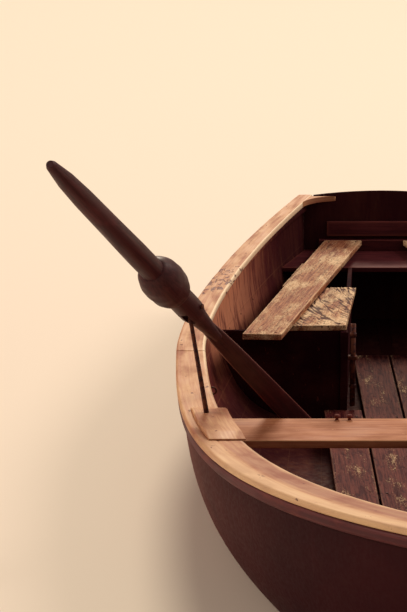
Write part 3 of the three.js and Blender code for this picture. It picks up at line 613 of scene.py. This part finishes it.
# Floor wood: darker than the benches and with less paint, partly its own colour and partly painted shade.
FLOOR = flaking("floor_wood", WINE, (0.17, 0.042, 0.034), 0.55, 0.14, 0.1, 0.06)
OUTER, DARK, IRON, OAR = outer_paint(), dark_paint(), rusty(), oar_varnish()


# Planking, both faces of each side
def skin(side, name, rows=150, columns=46):
    points, station = [], []
    for depth in (0, PLANK):
        for share in np.linspace(0, 1, rows):
            for t in np.linspace(0, 1, columns):
                aft = TRANSOM_Y + 30
                for _ in range(4):
                    aft = transom_y(outside(aft, t)[2])
                y = aft + share * (SKIN_END_Y - aft)
                point = hull_point(y, t, depth)
                points.append([max(point[0], EDGE), point[1], point[2]])
                station.append([y, 1000 * t, 0])
    outer = grid_faces(rows, columns, 0, True)
    inner = grid_faces(rows, columns, rows * columns, False)
    edges = walls(rows, columns)
    faces = outer + inner + [face[::-1] for face in edges]
    marks = [0] * len(outer) + [1] * len(inner) + [0] * len(edges)
    points = np.array(points)
    a, b, c, d = (points[k] for k in outer[len(outer) // 2])
    if np.cross(c - a, d - b)[0] < 0:
        faces = [face[::-1] for face in faces]
    build(f"planking_{name}", points, faces, (OUTER, INNER),
          (f"bottom_{name}", f"bilge_{name}", f"side_{name}"), side=side, marks=marks, station=station)


def along_boat(section, ys):
    rings = [section(y) for y in ys]
    points, faces = loft(rings)
    columns = len(rings[0])
    grain = [[y, j * 6.0, 0] for y in ys for j in range(columns)]
    return points, facing_out(points, faces), grain


def caps(side, name, seed):
    for part, y0, y1 in (("aft", TRANSOM_Y + 1, 224.85), ("fore", 225.15, STEM_Y - 14)):
        def place(u, v, w, y0=y0):
            """v runs from 0 to 100 across the cap, whatever its width."""
            ys = y0 + u
            inset = v / 100 * np.array([cap_width(y) for y in ys])
            return rim_x(ys, inset), ys, np.array([sheer(y) for y in ys]) - CAP_THICK + w

        def worn_and_lit(u, v, y0=y0):
            at = np.stack([y0 + u, v, 0 * u + seed * 50], 1)
            groove = np.exp(-((v - 42) / 2.5) ** 2) * np.clip((y0 + u - 1000) / 300, 0, 1) * 1.8
            edge = np.clip((6 - np.minimum(v, 100 - v)) / 6, 0, 1)
            chipped = np.clip((y0 + u + 950) / 120, 0, 1) * np.clip((-470 - y0 - u) / 120, 0, 1)
            chips = np.clip(noise(at, (34, 12, 30), seed + 5) - 0.22, 0, 0.3) * 7 * chipped
            low = noise(at, (60, 18, 30), seed) * 0.5 + noise(at, (25, 9, 30), seed + 3) * edge
            return low - groove - chips
        points, faces, flat, wear_and_highlight, sunk = rounded(
            y1 - y0, 100, CAP_THICK, place, step=9, across_step=4, radius=6, top=worn_and_lit)
        station = flat + np.array([y0, 0, 0])
        build(f"cap_board_{part}_{name}", points, faces, CAP, (f"cap_{part}_{name}",),
              grain=station + np.array([0, 0, 900.0 * (side < 0)]), side=side, wear_and_highlight=wear_and_highlight, sunk=sunk,
              station=station)
        seed += 1


# Sections of the strips: distance out of or in from the skin, and down from the strip's top
RUB_RAIL = ((0, 0), (10, 0), (14, 2), (16, 6), (16.5, 12), (16.5, 22), (15, 28), (11, 33), (6, 34), (0, 34))
INWALE = ((0, 0), (0, 32), (17, 32), (19.5, 29), (20, 26), (20, 0))
RISER = ((1, 0), (1, 38), (15, 38), (17, 36), (17.7, 33), (17.7, 0))
THWART_LOW, THWART_HIGH = 253, 280


def rails(side, name):
    def outer(y):
        slope = plan_slope(hull_half, y)
        run = math.hypot(1, slope)
        return [[hull_half(y) + (GAP + o) / run, y - slope * (GAP + o) / run, under_cap(y) - d]
                for o, d in RUB_RAIL]

    def inwale(y):
        return [[skin_x(y, under_cap(y) - d) - w, y, under_cap(y) - d] for w, d in INWALE]

    def riser(y):
        top = THWART_LOW - GAP
        return [[skin_x(y, top - d) - w, y, top - d] for w, d in RISER]
    for label, node, slot, look, section, y0, y1, count in (
            ("rub_rail", "rubrail", "cap", RAIL, outer, TRANSOM_Y + 7, SKIN_END_Y, 120),
            ("inwale_strip", "inwale", "inside", INNER, inwale, TRANSOM_Y + 34, 2580, 120),
            ("riser_strip", "riser", "inside", INNER, riser, 430, 1930, 60)):
        points, faces, grain = along_boat(section, np.linspace(y0, y1, count))
        build(f"{label}_{name}", points, faces, look, (f"{node}_{name}",), grain=grain, side=side)


def wood_relief(seed):
    """Shallow grooves along the grain."""
    def relief(u, v):
        at = np.stack([u, v, 0 * u + seed * 40], 1)
        return noise(at, (90, 9, 30), seed) * 0.6 - 0.24
    return relief


def rough_relief(seed, depth, slant=0.0):
    """Cracks along the grain or aslant to it, pits and blistered paint."""
    def relief(u, v):
        at = np.stack([u, v + slant * u, 0 * u + seed * 40], 1)
        cracks = np.abs(noise(at, (150, 16, 30), seed, 2))
        blisters = noise(at, (30, 12, 30), seed + 5)
        flakes = np.clip((noise(at, (9, 6, 30), seed + 9, 2) - 0.05) * 6, 0, 1)
        return -depth * np.exp(-(cracks / 0.06) ** 2) + depth * 0.3 * blisters + 0.4 * flakes - depth * 0.4
    return relief


THWARTS = (("middle", 540, 780, 4), ("bow", 1600, 1820, 6))  # name, aft and fore edge, seed
SEAT_LOW, SEAT_THICK, SEAT_FRONT = 234, 20, -1580
LEDGE_FRONT, LEDGE_HIGH, LEDGE_HALF = -1862, 299, 262


def seats():
    for name, y0, y1, seed in THWARTS:
        def across(u, v, w, y0=y0):
            return (u / 700 - 1) * skin_half(y0 + v, THWART_LOW + w), y0 + v, THWART_LOW + w
        board(f"thwart_board_{name}", f"thwart_{name}", "thwart", (1400, y1 - y0, THWART_HIGH - THWART_LOW),
              across, SEAT, seed, step=12, across_step=6, radius=4, top=wood_relief(seed))

    def stern(z0, front, widest):
        def place(u, v, w):
            z = z0 + w
            aft = np.array([transom_y(h) for h in z]) + (TRANSOM_THICK + GAP) / math.cos(RAKE)
            y = aft + v / 300 * (front - aft)
            return (u / 400 - 1) * np.minimum(widest, skin_half(y, z)), y, z
        return place
    board("stern_seat_board", "stern_seat", "thwart", (800, 300, SEAT_THICK),
          stern(SEAT_LOW, SEAT_FRONT, CAP_HALF_BEAM), SHADED_SEAT, 8, step=12, radius=3.5, top=wood_relief(8))
    low = SEAT_LOW + SEAT_THICK + GAP
    board("stern_ledge_board", "stern_ledge", "inside", (800, 300, LEDGE_HIGH - low),
          stern(low, LEDGE_FRONT, LEDGE_HALF), SHADED_SEAT, 9, step=12, radius=4, top=wood_relief(9))


def quad(corners, z0, length, width):
    """Turns distances along and across into points of an outline with four corners."""
    a, b, c, d = (np.array(p, float) for p in corners)

    def place(u, v, w):
        s, t = (u / length)[:, None], (v / width)[:, None]
        spot = (a * (1 - t) + b * t) * (1 - s) + (d * (1 - t) + c * t) * s
        return spot[:, 0], spot[:, 1], z0 + w
    return place


# Name, corners, length, width, height of the underside, thickness, depth of the cracks and their slant
BENCH_PLANKS = (
    ("long", ((600, -420), (458, -412), (85, -1860), (240, -1860)), 1490, 145, 277, 23, 1.3, 0),
    ("short", ((560, -612), (212, -624), (146, -1180), (300, -1180)), 575, 250, 254.7, 22, 3.6, 0.55),
    ("strip", ((433, -1200), (390, -1200), (300, -1560), (343, -1560)), 372, 42, 254.7, 22, 1.3, 0))


def benches(side, name, seed):
    for k, (part, corners, length, width, z0, thick, depth, slant) in enumerate(BENCH_PLANKS):
        board(f"bench_plank_{part}_{name}", f"bench_{part}_{name}", "bench", (length, width, thick),
              quad(corners, z0, length, width), ROUGH if part == "short" else BENCH, seed + k, side,
              step=5, across_step=3.2, radius=3, top=rough_relief(seed + k, depth, slant))


# Name, inner and outer edge, aft and fore end
FLOOR_PLANKS = (("inner", 4, 144, -1330, 1960), ("outer", 152, 292, -595, 1800))
FLOOR_LOW, FLOOR_HIGH = -58, -42


def floor_boards(side, name, seed):
    for k, (part, x0, x1, y0, y1) in enumerate(FLOOR_PLANKS):
        def place(u, v, w, x0=x0, y0=y0):
            return np.minimum(x0 + v, skin_half(y0 + u, FLOOR_LOW + w)), y0 + u, FLOOR_LOW + w
        board(f"floor_plank_{part}_{name}", f"floorboard_{part}_{name}", "bench",
              (y1 - y0, x1 - x0, FLOOR_HIGH - FLOOR_LOW), place, FLOOR, seed + k, side,
              step=9, across_step=6, radius=3, top=rough_relief(seed + k, 2.2))


LOCKER_Y, LOCKER_HIGH, LOCKER_LOW, LOCKER_LONG, LOCKER_BOARD = -640, 254.4, -62, 932, 16
POST_X, POST_WIDE, POST_DEEP, POST_LOW = 206, 27, 40, -100


def lockers(side, name, seed):
    level = next(z for z in np.arange(-100, 0, 0.5) if skin_x(-632, z) > 245)
    start, tall = POST_X + POST_WIDE + GAP, LOCKER_HIGH - LOCKER_LOW

    def front(u, v, w):
        z = level + v
        return start + u / 460 * (skin_half(0 * z + LOCKER_Y + w, z) - start), LOCKER_Y + w, z

    def post(u, v, w):
        return POST_X + u, LOCKER_Y + v, POST_LOW + w

    def inner(u, v, w):
        share = u / LOCKER_LONG
        return POST_X - 66 * share + w, LOCKER_Y - GAP - u, LOCKER_LOW + v + 14 * share * (1 - v / tall)
    for label, node, size, place, step, radius in (
            ("locker_panel", "locker_front", (460, LOCKER_HIGH - level, LOCKER_BOARD), front, 14, 1.5),
            ("locker_corner", "locker_post", (POST_WIDE, POST_DEEP, LOCKER_HIGH - POST_LOW), post, 8, 2.5),
            ("locker_board", "locker_side", (LOCKER_LONG, tall, LOCKER_BOARD), inner, 20, 1.5)):
        board(f"{label}_{name}", f"{node}_{name}", "dark", size, place, DARK, seed, side,
              step=step, radius=radius)


def transom_blocks():
    def pad(half, low, near):
        """On the raked transom, near being the distance in from its outside."""
        def place(u, v, w):
            out, up = near + w, low + v - sheer(TRANSOM_Y)
            return (u - half, TRANSOM_Y + out * math.cos(RAKE) - up * math.sin(RAKE),
                    sheer(TRANSOM_Y) + out * math.sin(RAKE) + up * math.cos(RAKE))
        return place
    for part, size, low, near, seed in (("inner", (460, 62, 18), 302, TRANSOM_THICK + GAP, 13),
                                        ("outer", (400, 298, 22), 180, -22 - GAP, 14)):
        board(f"transom_block_{part}", f"transom_pad_{part}", "dark", size, pad(size[0] / 2, low, near),
              SHADED_SEAT, seed, step=8, radius=3)


KNEE_LONG = 105


def bow_and_corners():
    def hook(u, v, w):
        y = 2290 + u
        z = np.array([under_cap(at) for at in y]) - 21.3 + w
        return (v / 250 - 1) * np.minimum(320, skin_half(y, z, PLANK + 20.6)), y, z
    board("bow_knee", "breasthook", "cap", (346, 500, 20), hook, CAP, 15, step=10, radius=3)

    def knee(u, v, w):
        y = TRANSOM_Y + 31 + u
        edge = rim_x(y, np.array([cap_width(at) for at in y]) + 0.5)
        reach = KNEE_LONG * (1 - np.sqrt(u / KNEE_LONG)) ** 1.5 + 1
        return edge - v / 100 * reach, y, sheer(TRANSOM_Y) - CAP_THICK - 1 + w
    for side, name in ((1, "starboard"), (-1, "port")):
        board(f"corner_knee_{name}", f"quarter_knee_{name}", "cap", (KNEE_LONG, 100, 22), knee, CAP, 16, side,
              step=6, radius=2)


def backbone():
    """The CAD's own pieces, shown with softened edges."""
    looks = {name: (OUTER, "hull") for name in ("keel", "skeg", "stem")}
    looks["transom"] = (INNER, "inside")
    looks.update({f"bearer_{k}": (DARK, "dark") for k in (1, 2, 3)})
    for name, (look, slot) in looks.items():
        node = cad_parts[name]
        node.data.materials.clear()
        node.data.materials.append(look)
        soft = node.modifiers.new("edges", "BEVEL")
        soft.width, soft.segments, soft.limit_method = 0.003, 2, "ANGLE"


# Pins and oars
PAD_FROM, PAD_LONG, PAD_RAMP, PAD_THICK, PAD_END, PAD_OUT, PAD_IN = 930, 390, 60, 16, 5, 28, 8
PIN_LEAN = math.radians(9.3)
PIN_AXIS = np.array([math.sin(PIN_LEAN), 0, math.cos(PIN_LEAN)])
PIN_Y = 1031
PIN_FOOT = np.array([731, PIN_Y, sheer(PIN_Y) + PAD_THICK])
PIN_LONG = (788 - PIN_FOOT[2]) / PIN_AXIS[2]
PIVOT = PIN_FOOT + PIN_AXIS * PIN_LONG
OAR_AIM = np.array([472, 406, 280])
BLADE_FACES = np.array([-0.027, -0.954, -0.299])
WAY = (OAR_AIM - PIVOT) / np.linalg.norm(OAR_AIM - PIVOT)
PIN_PLACE = basis(np.cross(PIN_AXIS, WAY), PIN_AXIS, PIVOT)
OAR_PLACE = basis(np.cross(WAY, BLADE_FACES), -WAY, PIVOT)
NECK_Z, NECK, SPIGOT, SPIGOT_TOP, PIN_PLAY, PIN_WIDE = -116, 6.5, 4.5, -62, 0.6, 8
HEAD_LOW, HEAD_HIGH, HEAD_RADIUS, BOLT, BOLT_HALF, NUT, NUT_THICK = -46, 14, 9, 5, 43, 9, 6
GRIP, BLOCK, BLOCK_END, HANDLE, BLADE_END, BOLT_HOLE = 36, 41, 104, 1030, 1200, 5.5
# Loom: distance from the pivot towards the handle, radius
LOOM = [(-240, 18), (-150, 24), (-70, 31), (-25, 40), (0, BLOCK), (BLOCK_END, BLOCK), (BLOCK_END + 1, GRIP),
        (420, GRIP), (600, 33), (800, 30.5), (920, 26), (975, 20.5), (1018, 16), (HANDLE, 11)]
# Blade: distance from the pivot, half width, half thickness
BLADE = np.array([(100, 20, 14), (250, 27, 12), (420, 31, 11), (700, 35, 9.5), (1000, 38, 8.5), (1130, 38, 8),
                  (1185, 31, 7), (BLADE_END, 20, 6)], float)
COLLAR_FROM, COLLAR_LONG = 106, 190
COLLAR = [(2, 47), (22, 57), (52, 66), (92, 68.5), (136, 65), (166, 56), (186, 44)]
SLOT_HALF, SLOT_SIDE, SLOT_BACK, SLOT_REACH, LIFT = 10.2, 11, 18, 120, math.radians(60)
SLOT_SPARE, SLOT_LAP = math.radians(3), math.radians(20)


def pin_block(side, name):
    inner = cap_width(PAD_FROM + PAD_LONG) + PAD_IN

    def place(u, v, w):
        ys = PAD_FROM + u
        ends = [0, PAD_RAMP, PAD_LONG - PAD_RAMP, PAD_LONG]
        rise = w * np.interp(u, ends, [PAD_END, PAD_THICK, PAD_THICK, PAD_END]) / PAD_THICK
        xs = rim_x(ys, PAD_OUT + v / 100 * (inner - PAD_OUT))
        return xs, ys, np.array([sheer(y) for y in ys]) + GAP + rise
    board(f"pin_block_{name}", f"pin_pad_{name}", "cap", (PAD_LONG, 100, PAD_THICK), place, CAP, 20, side,
          step=8, radius=2, top=wood_relief(20))


def slot_cut():
    """The slot under the loom, open over the whole lift, in which the swivel's head stands."""
    rest = math.acos(-PIN_AXIS @ WAY)
    below = -PIN_AXIS - WAY * math.cos(rest)
    below = below / np.linalg.norm(below)
    first, last = rest - SLOT_SPARE, rest + LIFT + SLOT_SPARE
    near = SLOT_BACK * math.sin(SLOT_LAP)
    sides = [(near, -SLOT_SIDE, first), (SLOT_REACH, -SLOT_SIDE, first), (SLOT_REACH, SLOT_SIDE, last),
             (near, SLOT_SIDE, last)]
    outline = [(a * math.cos(t) - s * math.sin(t), a * math.sin(t) + s * math.cos(t)) for a, s, t in sides]
    turn = np.linspace(last + math.pi / 2 - SLOT_LAP, first + 1.5 * math.pi + SLOT_LAP, 10)
    outline += [(SLOT_BACK * math.cos(t), SLOT_BACK * math.sin(t)) for t in turn]
    across = np.cross(WAY, below)
    flat = np.array([WAY * a + below * s for a, s in outline])
    points, faces = loft([flat - across * SLOT_HALF, flat + across * SLOT_HALF])
    return points + PIVOT, facing_out(points, faces)


def bolt_cut():
    hole = lathe([(0, -100), (BOLT_HOLE, -100), (BOLT_HOLE, 100), (0, 100)], 20)
    return set_in(set_in(hole[0], basis((0, 0, -1), (1, 0, 0))), PIN_PLACE), hole[1]


def carved(solid, *cuts):
    """Points and faces of a solid after each cut is taken out of it."""
    def temporary(points, faces):
        mesh = bpy.data.meshes.new("blank")
        mesh.from_pydata(np.asarray(points).tolist(), [], faces)
        made = bpy.data.objects.new("blank", mesh)
        bpy.context.scene.collection.objects.link(made)
        return made
    whole = temporary(*solid)
    tools = [temporary(*cut) for cut in cuts]
    for tool in tools:
        cut = whole.modifiers.new("cut", "BOOLEAN")
        cut.operation, cut.solver, cut.object = "DIFFERENCE", "EXACT", tool
    mesh = bpy.data.meshes.new_from_object(whole.evaluated_get(bpy.context.evaluated_depsgraph_get()))
    points = np.array([tuple(vertex.co) for vertex in mesh.vertices])
    faces = [tuple(polygon.vertices) for polygon in mesh.polygons]
    for made in (whole, *tools):
        bpy.data.objects.remove(made)
    return points, faces


def along_oar(points):
    local = (np.asarray(points) - OAR_PLACE[1]) @ OAR_PLACE[0]
    return np.stack([local[:, 2], local[:, 0], local[:, 1]], 1)


def oar_piece(name, label, node, points, faces, side, wear_and_highlight=0):
    obj = build(f"{label}_{name}", points, faces, OAR, (f"{node}_{name}",), f"oar_{name}_body",
                grain=along_oar(points), side=side, wear_and_highlight=wear_and_highlight + np.zeros(len(points)))
    obj.data.set_sharp_from_angle(angle=math.radians(38))


def oar(side, name):
    heights, radii = (np.array(values, float) for values in zip(*LOOM))
    fine = np.unique(np.concatenate([heights, np.linspace(-240, 1018, 70), [1022, 1026]]))
    profile = [(0, -240)] + [(float(np.interp(z, heights, radii)), float(z)) for z in fine] + [(0, HANDLE)]
    loom = lathe(profile, 48)
    loom = carved((set_in(loom[0], OAR_PLACE), loom[1]), slot_cut(), bolt_cut())
    rings, edges = [], []
    us = np.sin(np.linspace(-math.pi / 2, math.pi / 2, 17))
    shape = (1 - 0.3 * np.abs(us) ** 3) * np.sqrt(np.maximum(0.12, 1 - np.abs(us) ** 24))
    for z in np.concatenate([np.linspace(100, 1125, 90), np.linspace(1130, BLADE_END, 14)]):
        half, thick = np.interp(z, BLADE[:, 0], BLADE[:, 1]), np.interp(z, BLADE[:, 0], BLADE[:, 2])
        upper = [(u * half, thick * t, -z) for u, t in zip(us, shape)]
        rings.append(upper + [(x, -y, -z) for x, y, _ in reversed(upper)])
        edges += list(np.abs(us) > 0.95) + list(np.abs(us[::-1]) > 0.95)
    blade = loft(rings)
    blade = (set_in(blade[0], OAR_PLACE), facing_out(*blade))
    points, faces = joined(loom, blade)
    wear_and_highlight = np.concatenate([np.zeros(len(loom[0])), np.array(edges, float)])
    oar_piece(name, "oar_shaft", "oar", points, faces, side, wear_and_highlight)

    bore = GRIP + GAP
    heights, radii = zip(*COLLAR)
    bulge = [(float(np.interp(z, heights, radii)), float(z)) for z in np.linspace(2, 186, 32)]
    ring = [(bore, 0), *bulge, (bore, COLLAR_LONG)]
    lump, faces = turned([(r, COLLAR_FROM + z) for r, z in ring], 56)
    radial = np.hypot(lump[:, 0], lump[:, 1])
    dent = noise(lump, (44, 44, 60), 31) * 2.4 - 1.4
    lump[:, :2] *= ((radial + np.where(radial > GRIP + 4, dent, 0)) / radial)[:, None]
    oar_piece(name, "oar_grip_collar", "oar_collar", set_in(lump, OAR_PLACE), faces, side)


def pin_and_swivel(side, name):
    rod = lathe([(0, SPIGOT_TOP), (SPIGOT - 0.6, SPIGOT_TOP), (SPIGOT, SPIGOT_TOP - 0.8), (SPIGOT, NECK_Z),
                 (NECK - 0.5, NECK_Z), (NECK, NECK_Z - 0.6), (PIN_WIDE, -PIN_LONG), (PIN_WIDE, -PIN_LONG - 2),
                 (0, -PIN_LONG - 2)], 32)
    build(f"iron_pin_{name}", set_in(rod[0], PIN_PLACE), rod[1], IRON, (f"pin_{name}",),
          side=side)

    bore, low = SPIGOT + PIN_PLAY, NECK_Z + PIN_PLAY
    stem = lathe([(0, SPIGOT_TOP + 2), (bore, SPIGOT_TOP + 2), (bore, low), (NECK - 0.5, low),
                  (NECK, low + 0.6), (NECK, HEAD_LOW - 1), (HEAD_RADIUS - 1, HEAD_LOW),
                  (HEAD_RADIUS, HEAD_LOW + 1), (HEAD_RADIUS, HEAD_HIGH - 1), (HEAD_RADIUS - 1, HEAD_HIGH),
                  (0, HEAD_HIGH)], 32)
    bolt = lathe([(0, -BOLT_HALF), (BOLT, -BOLT_HALF), (BOLT, BOLT_HALF), (0, BOLT_HALF)], 20)
    turn = basis((0, 0, -1), (1, 0, 0))
    nuts = []
    for end in (-1, 1):
        near, far = end * BOLT_HALF, end * (BOLT_HALF + NUT_THICK)
        nut = lathe([(0, near), (NUT, near), (NUT, far - end * 1.2), (NUT - 1.5, far), (0, far)], 6)
        nuts.append((set_in(nut[0], turn), nut[1]))
    points, faces = joined(stem, (set_in(bolt[0], turn), bolt[1]), *nuts)
    obj = build(f"iron_swivel_{name}", set_in(points, PIN_PLACE), faces, IRON, (f"swivel_{name}",),
                f"rowlock_{name}", side=side)
    obj.data.set_sharp_from_angle(angle=math.radians(35))


def pump():
    tube = lathe([(0, -30), (10, -30), (10, 285), (8.6, 285), (8.6, 278), (0, 278)], 32)
    band = ((0, 0), (12.5, 0), (13, 2), (13, 12), (12.5, 14), (0, 14))
    points, faces = joined(tube, *(lathe([(r, z + up) for r, up in band], 32) for z in (40, 236)))

    def by_post(u, v, w):
        return 173 + u, -620 + v, 150 + w
    clamp = rounded(POST_X - GAP - 173, 28, 14, by_post, step=40, radius=2, arc=2)[:2]
    points, faces = joined((points + np.array([187, -606, 0]), faces), clamp)
    build("pump_tube", points, faces, IRON, ("pump_pipe",))


def dome(spot, normal=(0, 0, 1), radius=4.5, high=1.6, sides=10):
    """The head of a nail, set a little into the wood."""
    head = lathe([(0, -1), (radius, -1), (radius, high * 0.3), (radius * 0.7, high * 0.8), (0, high)], sides)
    normal = np.array(normal, float) / np.linalg.norm(normal)
    aside = np.cross(normal, (0.3, 1, 0.2))
    return set_in(head[0], basis(aside, normal, spot)), head[1]


def nails(side, name):
    heads = []
    for _, x0, x1, _, _ in FLOOR_PLANKS:
        for y in (-500, 350, 1200):
            heads += [dome((x0 + 24, y - 8, FLOOR_HIGH)), dome((x1 - 24, y + 8, FLOOR_HIGH))]
    for _, y0, y1, _ in THWARTS:
        for y in (y0 + 45, (y0 + y1) / 2, y1 - 45):
            heads.append(dome((skin_x(y, THWART_HIGH) - 42, y, THWART_HIGH), radius=5.5))
    on_benches = ((570, -442, 300), (478, -437, 300), (112, -1832, 300), (222, -1828, 300),
                  (530, -634, 276.7), (236, -646, 276.7), (176, -1158, 276.7), (276, -1160, 276.7))
    heads += [dome(spot) for spot in on_benches]
    beside_seams = (0.632, 0.762, 0.868)
    for y in range(-1740, 2200, 190):
        for t in beside_seams:
            spot = hull_point(y, t, PLANK)
            heads.append(dome(spot, hull_point(y, t, PLANK + 5) - spot, 4, 1.2, 8))
    points, faces = joined(*heads)
    build(f"nail_heads_{name}", points, faces, IRON, side=side)


def small_fittings():
    """An iron eye under the cap by the starboard pin, and two knobs on the middle thwart's aft edge."""
    eye_radius, wire = 11, 3
    points, faces = turned([(eye_radius + wire * math.cos(b), wire * math.sin(b)) for b in circle(10)], 24)
    build("cap_eye", set_in(points, basis((0, 0, 1), (0.2, 1, 0), (709, 590, 389))), faces, IRON)
    knob = lathe([(0, 0), (7, 0), (5, 3), (5, 6), (9, 9), (10, 13), (8, 17), (0, 19)], 24)
    points, faces = joined(*((knob[0] + np.array([x, 556, THWART_HIGH - 0.5]), knob[1]) for x in (303, 262)))
    # The knobs take the pale edge colour all over: partly their own paleness, partly a painted highlight.
    build("thwart_knobs", points, faces, SHADED_SEAT, wear_and_highlight=np.ones(len(points)))


for side, name, seed in ((1, "starboard", 30), (-1, "port", 60)):
    skin(side, name)
    caps(side, name, seed)
    rails(side, name)
    benches(side, name, seed + 4)
    floor_boards(side, name, seed + 8)
    lockers(side, name, seed + 12)
    pin_block(side, name)
    pin_and_swivel(side, name)
    oar(side, name)
    nails(side, name)
seats()
transom_blocks()
bow_and_corners()
backbone()
pump()
small_fittings()


# Pale floor at the waterline, open where the hull passes through it
WATER_AFT, WATER_FORE, STEM_FORE = TRANSOM_Y + 92, 2320, 2362
FLOOR_REACH, FLOOR_STRETCH = 60000, 40  # half its width, and its length as a multiple of the opening's


def floor():
    outline = [(float(np.interp(0, *nearest_row(y, 0))), y) for y in np.linspace(WATER_AFT, WATER_FORE, 70)]
    outline += [(EDGE, 2338), (0, STEM_FORE)]
    opening = outline + [(-x, y) for x, y in reversed(outline[:-1])]
    rim_points = [(math.copysign(FLOOR_REACH, x) * min(1, abs(x) / 300) if x else 0, y * FLOOR_STRETCH)
                  for x, y in opening]
    count = len(opening)
    faces = [(k, (k + 1) % count, count + (k + 1) % count, count + k) for k in range(count)]
    mesh = bpy.data.meshes.new("floor")
    mesh.from_pydata([(x * 0.001, y * 0.001, 0) for x, y in opening + rim_points], [], faces)
    s = Shade("pale_floor", grain=False)
    mesh.materials.append(s.done((0.84, 0.76, 0.64), 0.7))
    obj = bpy.data.objects.new("floor", mesh)
    bpy.context.scene.collection.objects.link(obj)


floor()


def light(name, spot, target, size, power, color):
    lamp = bpy.data.lights.new(name, "AREA")
    lamp.shape, lamp.size, lamp.energy, lamp.color = "DISK", size, power, color
    obj = bpy.data.objects.new(name, lamp)
    obj.location = spot
    obj.rotation_mode = "QUATERNION"
    obj.rotation_quaternion = (Vector(target) - Vector(spot)).to_track_quat("-Z", "Y")
    bpy.context.scene.collection.objects.link(obj)


light("key", (-2.0, -52.0, 40.0), (0.3, 0, 0), 20.0, 29000, (1.0, 0.86, 0.68))
light("side", (22.0, -2.0, 11.0), (0.6, 0.6, 0.3), 9.0, 2400, (1.0, 0.80, 0.68))
light("fill", (-13.0, -5.0, 12.0), (0.5, 0.0, 0.2), 7.0, 1500, (1.0, 0.80, 0.70))

world = bpy.data.worlds.new("sky")
world.use_nodes = True
sky = world.node_tree.nodes["Background"].inputs
sky["Color"].default_value = (1.0, 0.84, 0.74, 1.0)
sky["Strength"].default_value = 0.25
scene = bpy.context.scene
scene.world = world
scene.view_settings.view_transform = "Standard"

# Camera fitted to the photo, ahead of the bow and looking aft and down
FOCAL_PIXELS, PHOTO_HEIGHT, SENSOR_MM = 2700, 612, 36
LOOK_DOWN = 15

lens = bpy.data.cameras.new("camera")
lens.lens = FOCAL_PIXELS / PHOTO_HEIGHT * SENSOR_MM
camera = bpy.data.objects.new("camera", lens)
camera.location = (0.74, 9.0, 2.9276)
camera.rotation_euler = (math.radians(90 - LOOK_DOWN), 0, math.radians(180))
lens.clip_end = 200
scene.collection.objects.link(camera)
scene.camera = camera
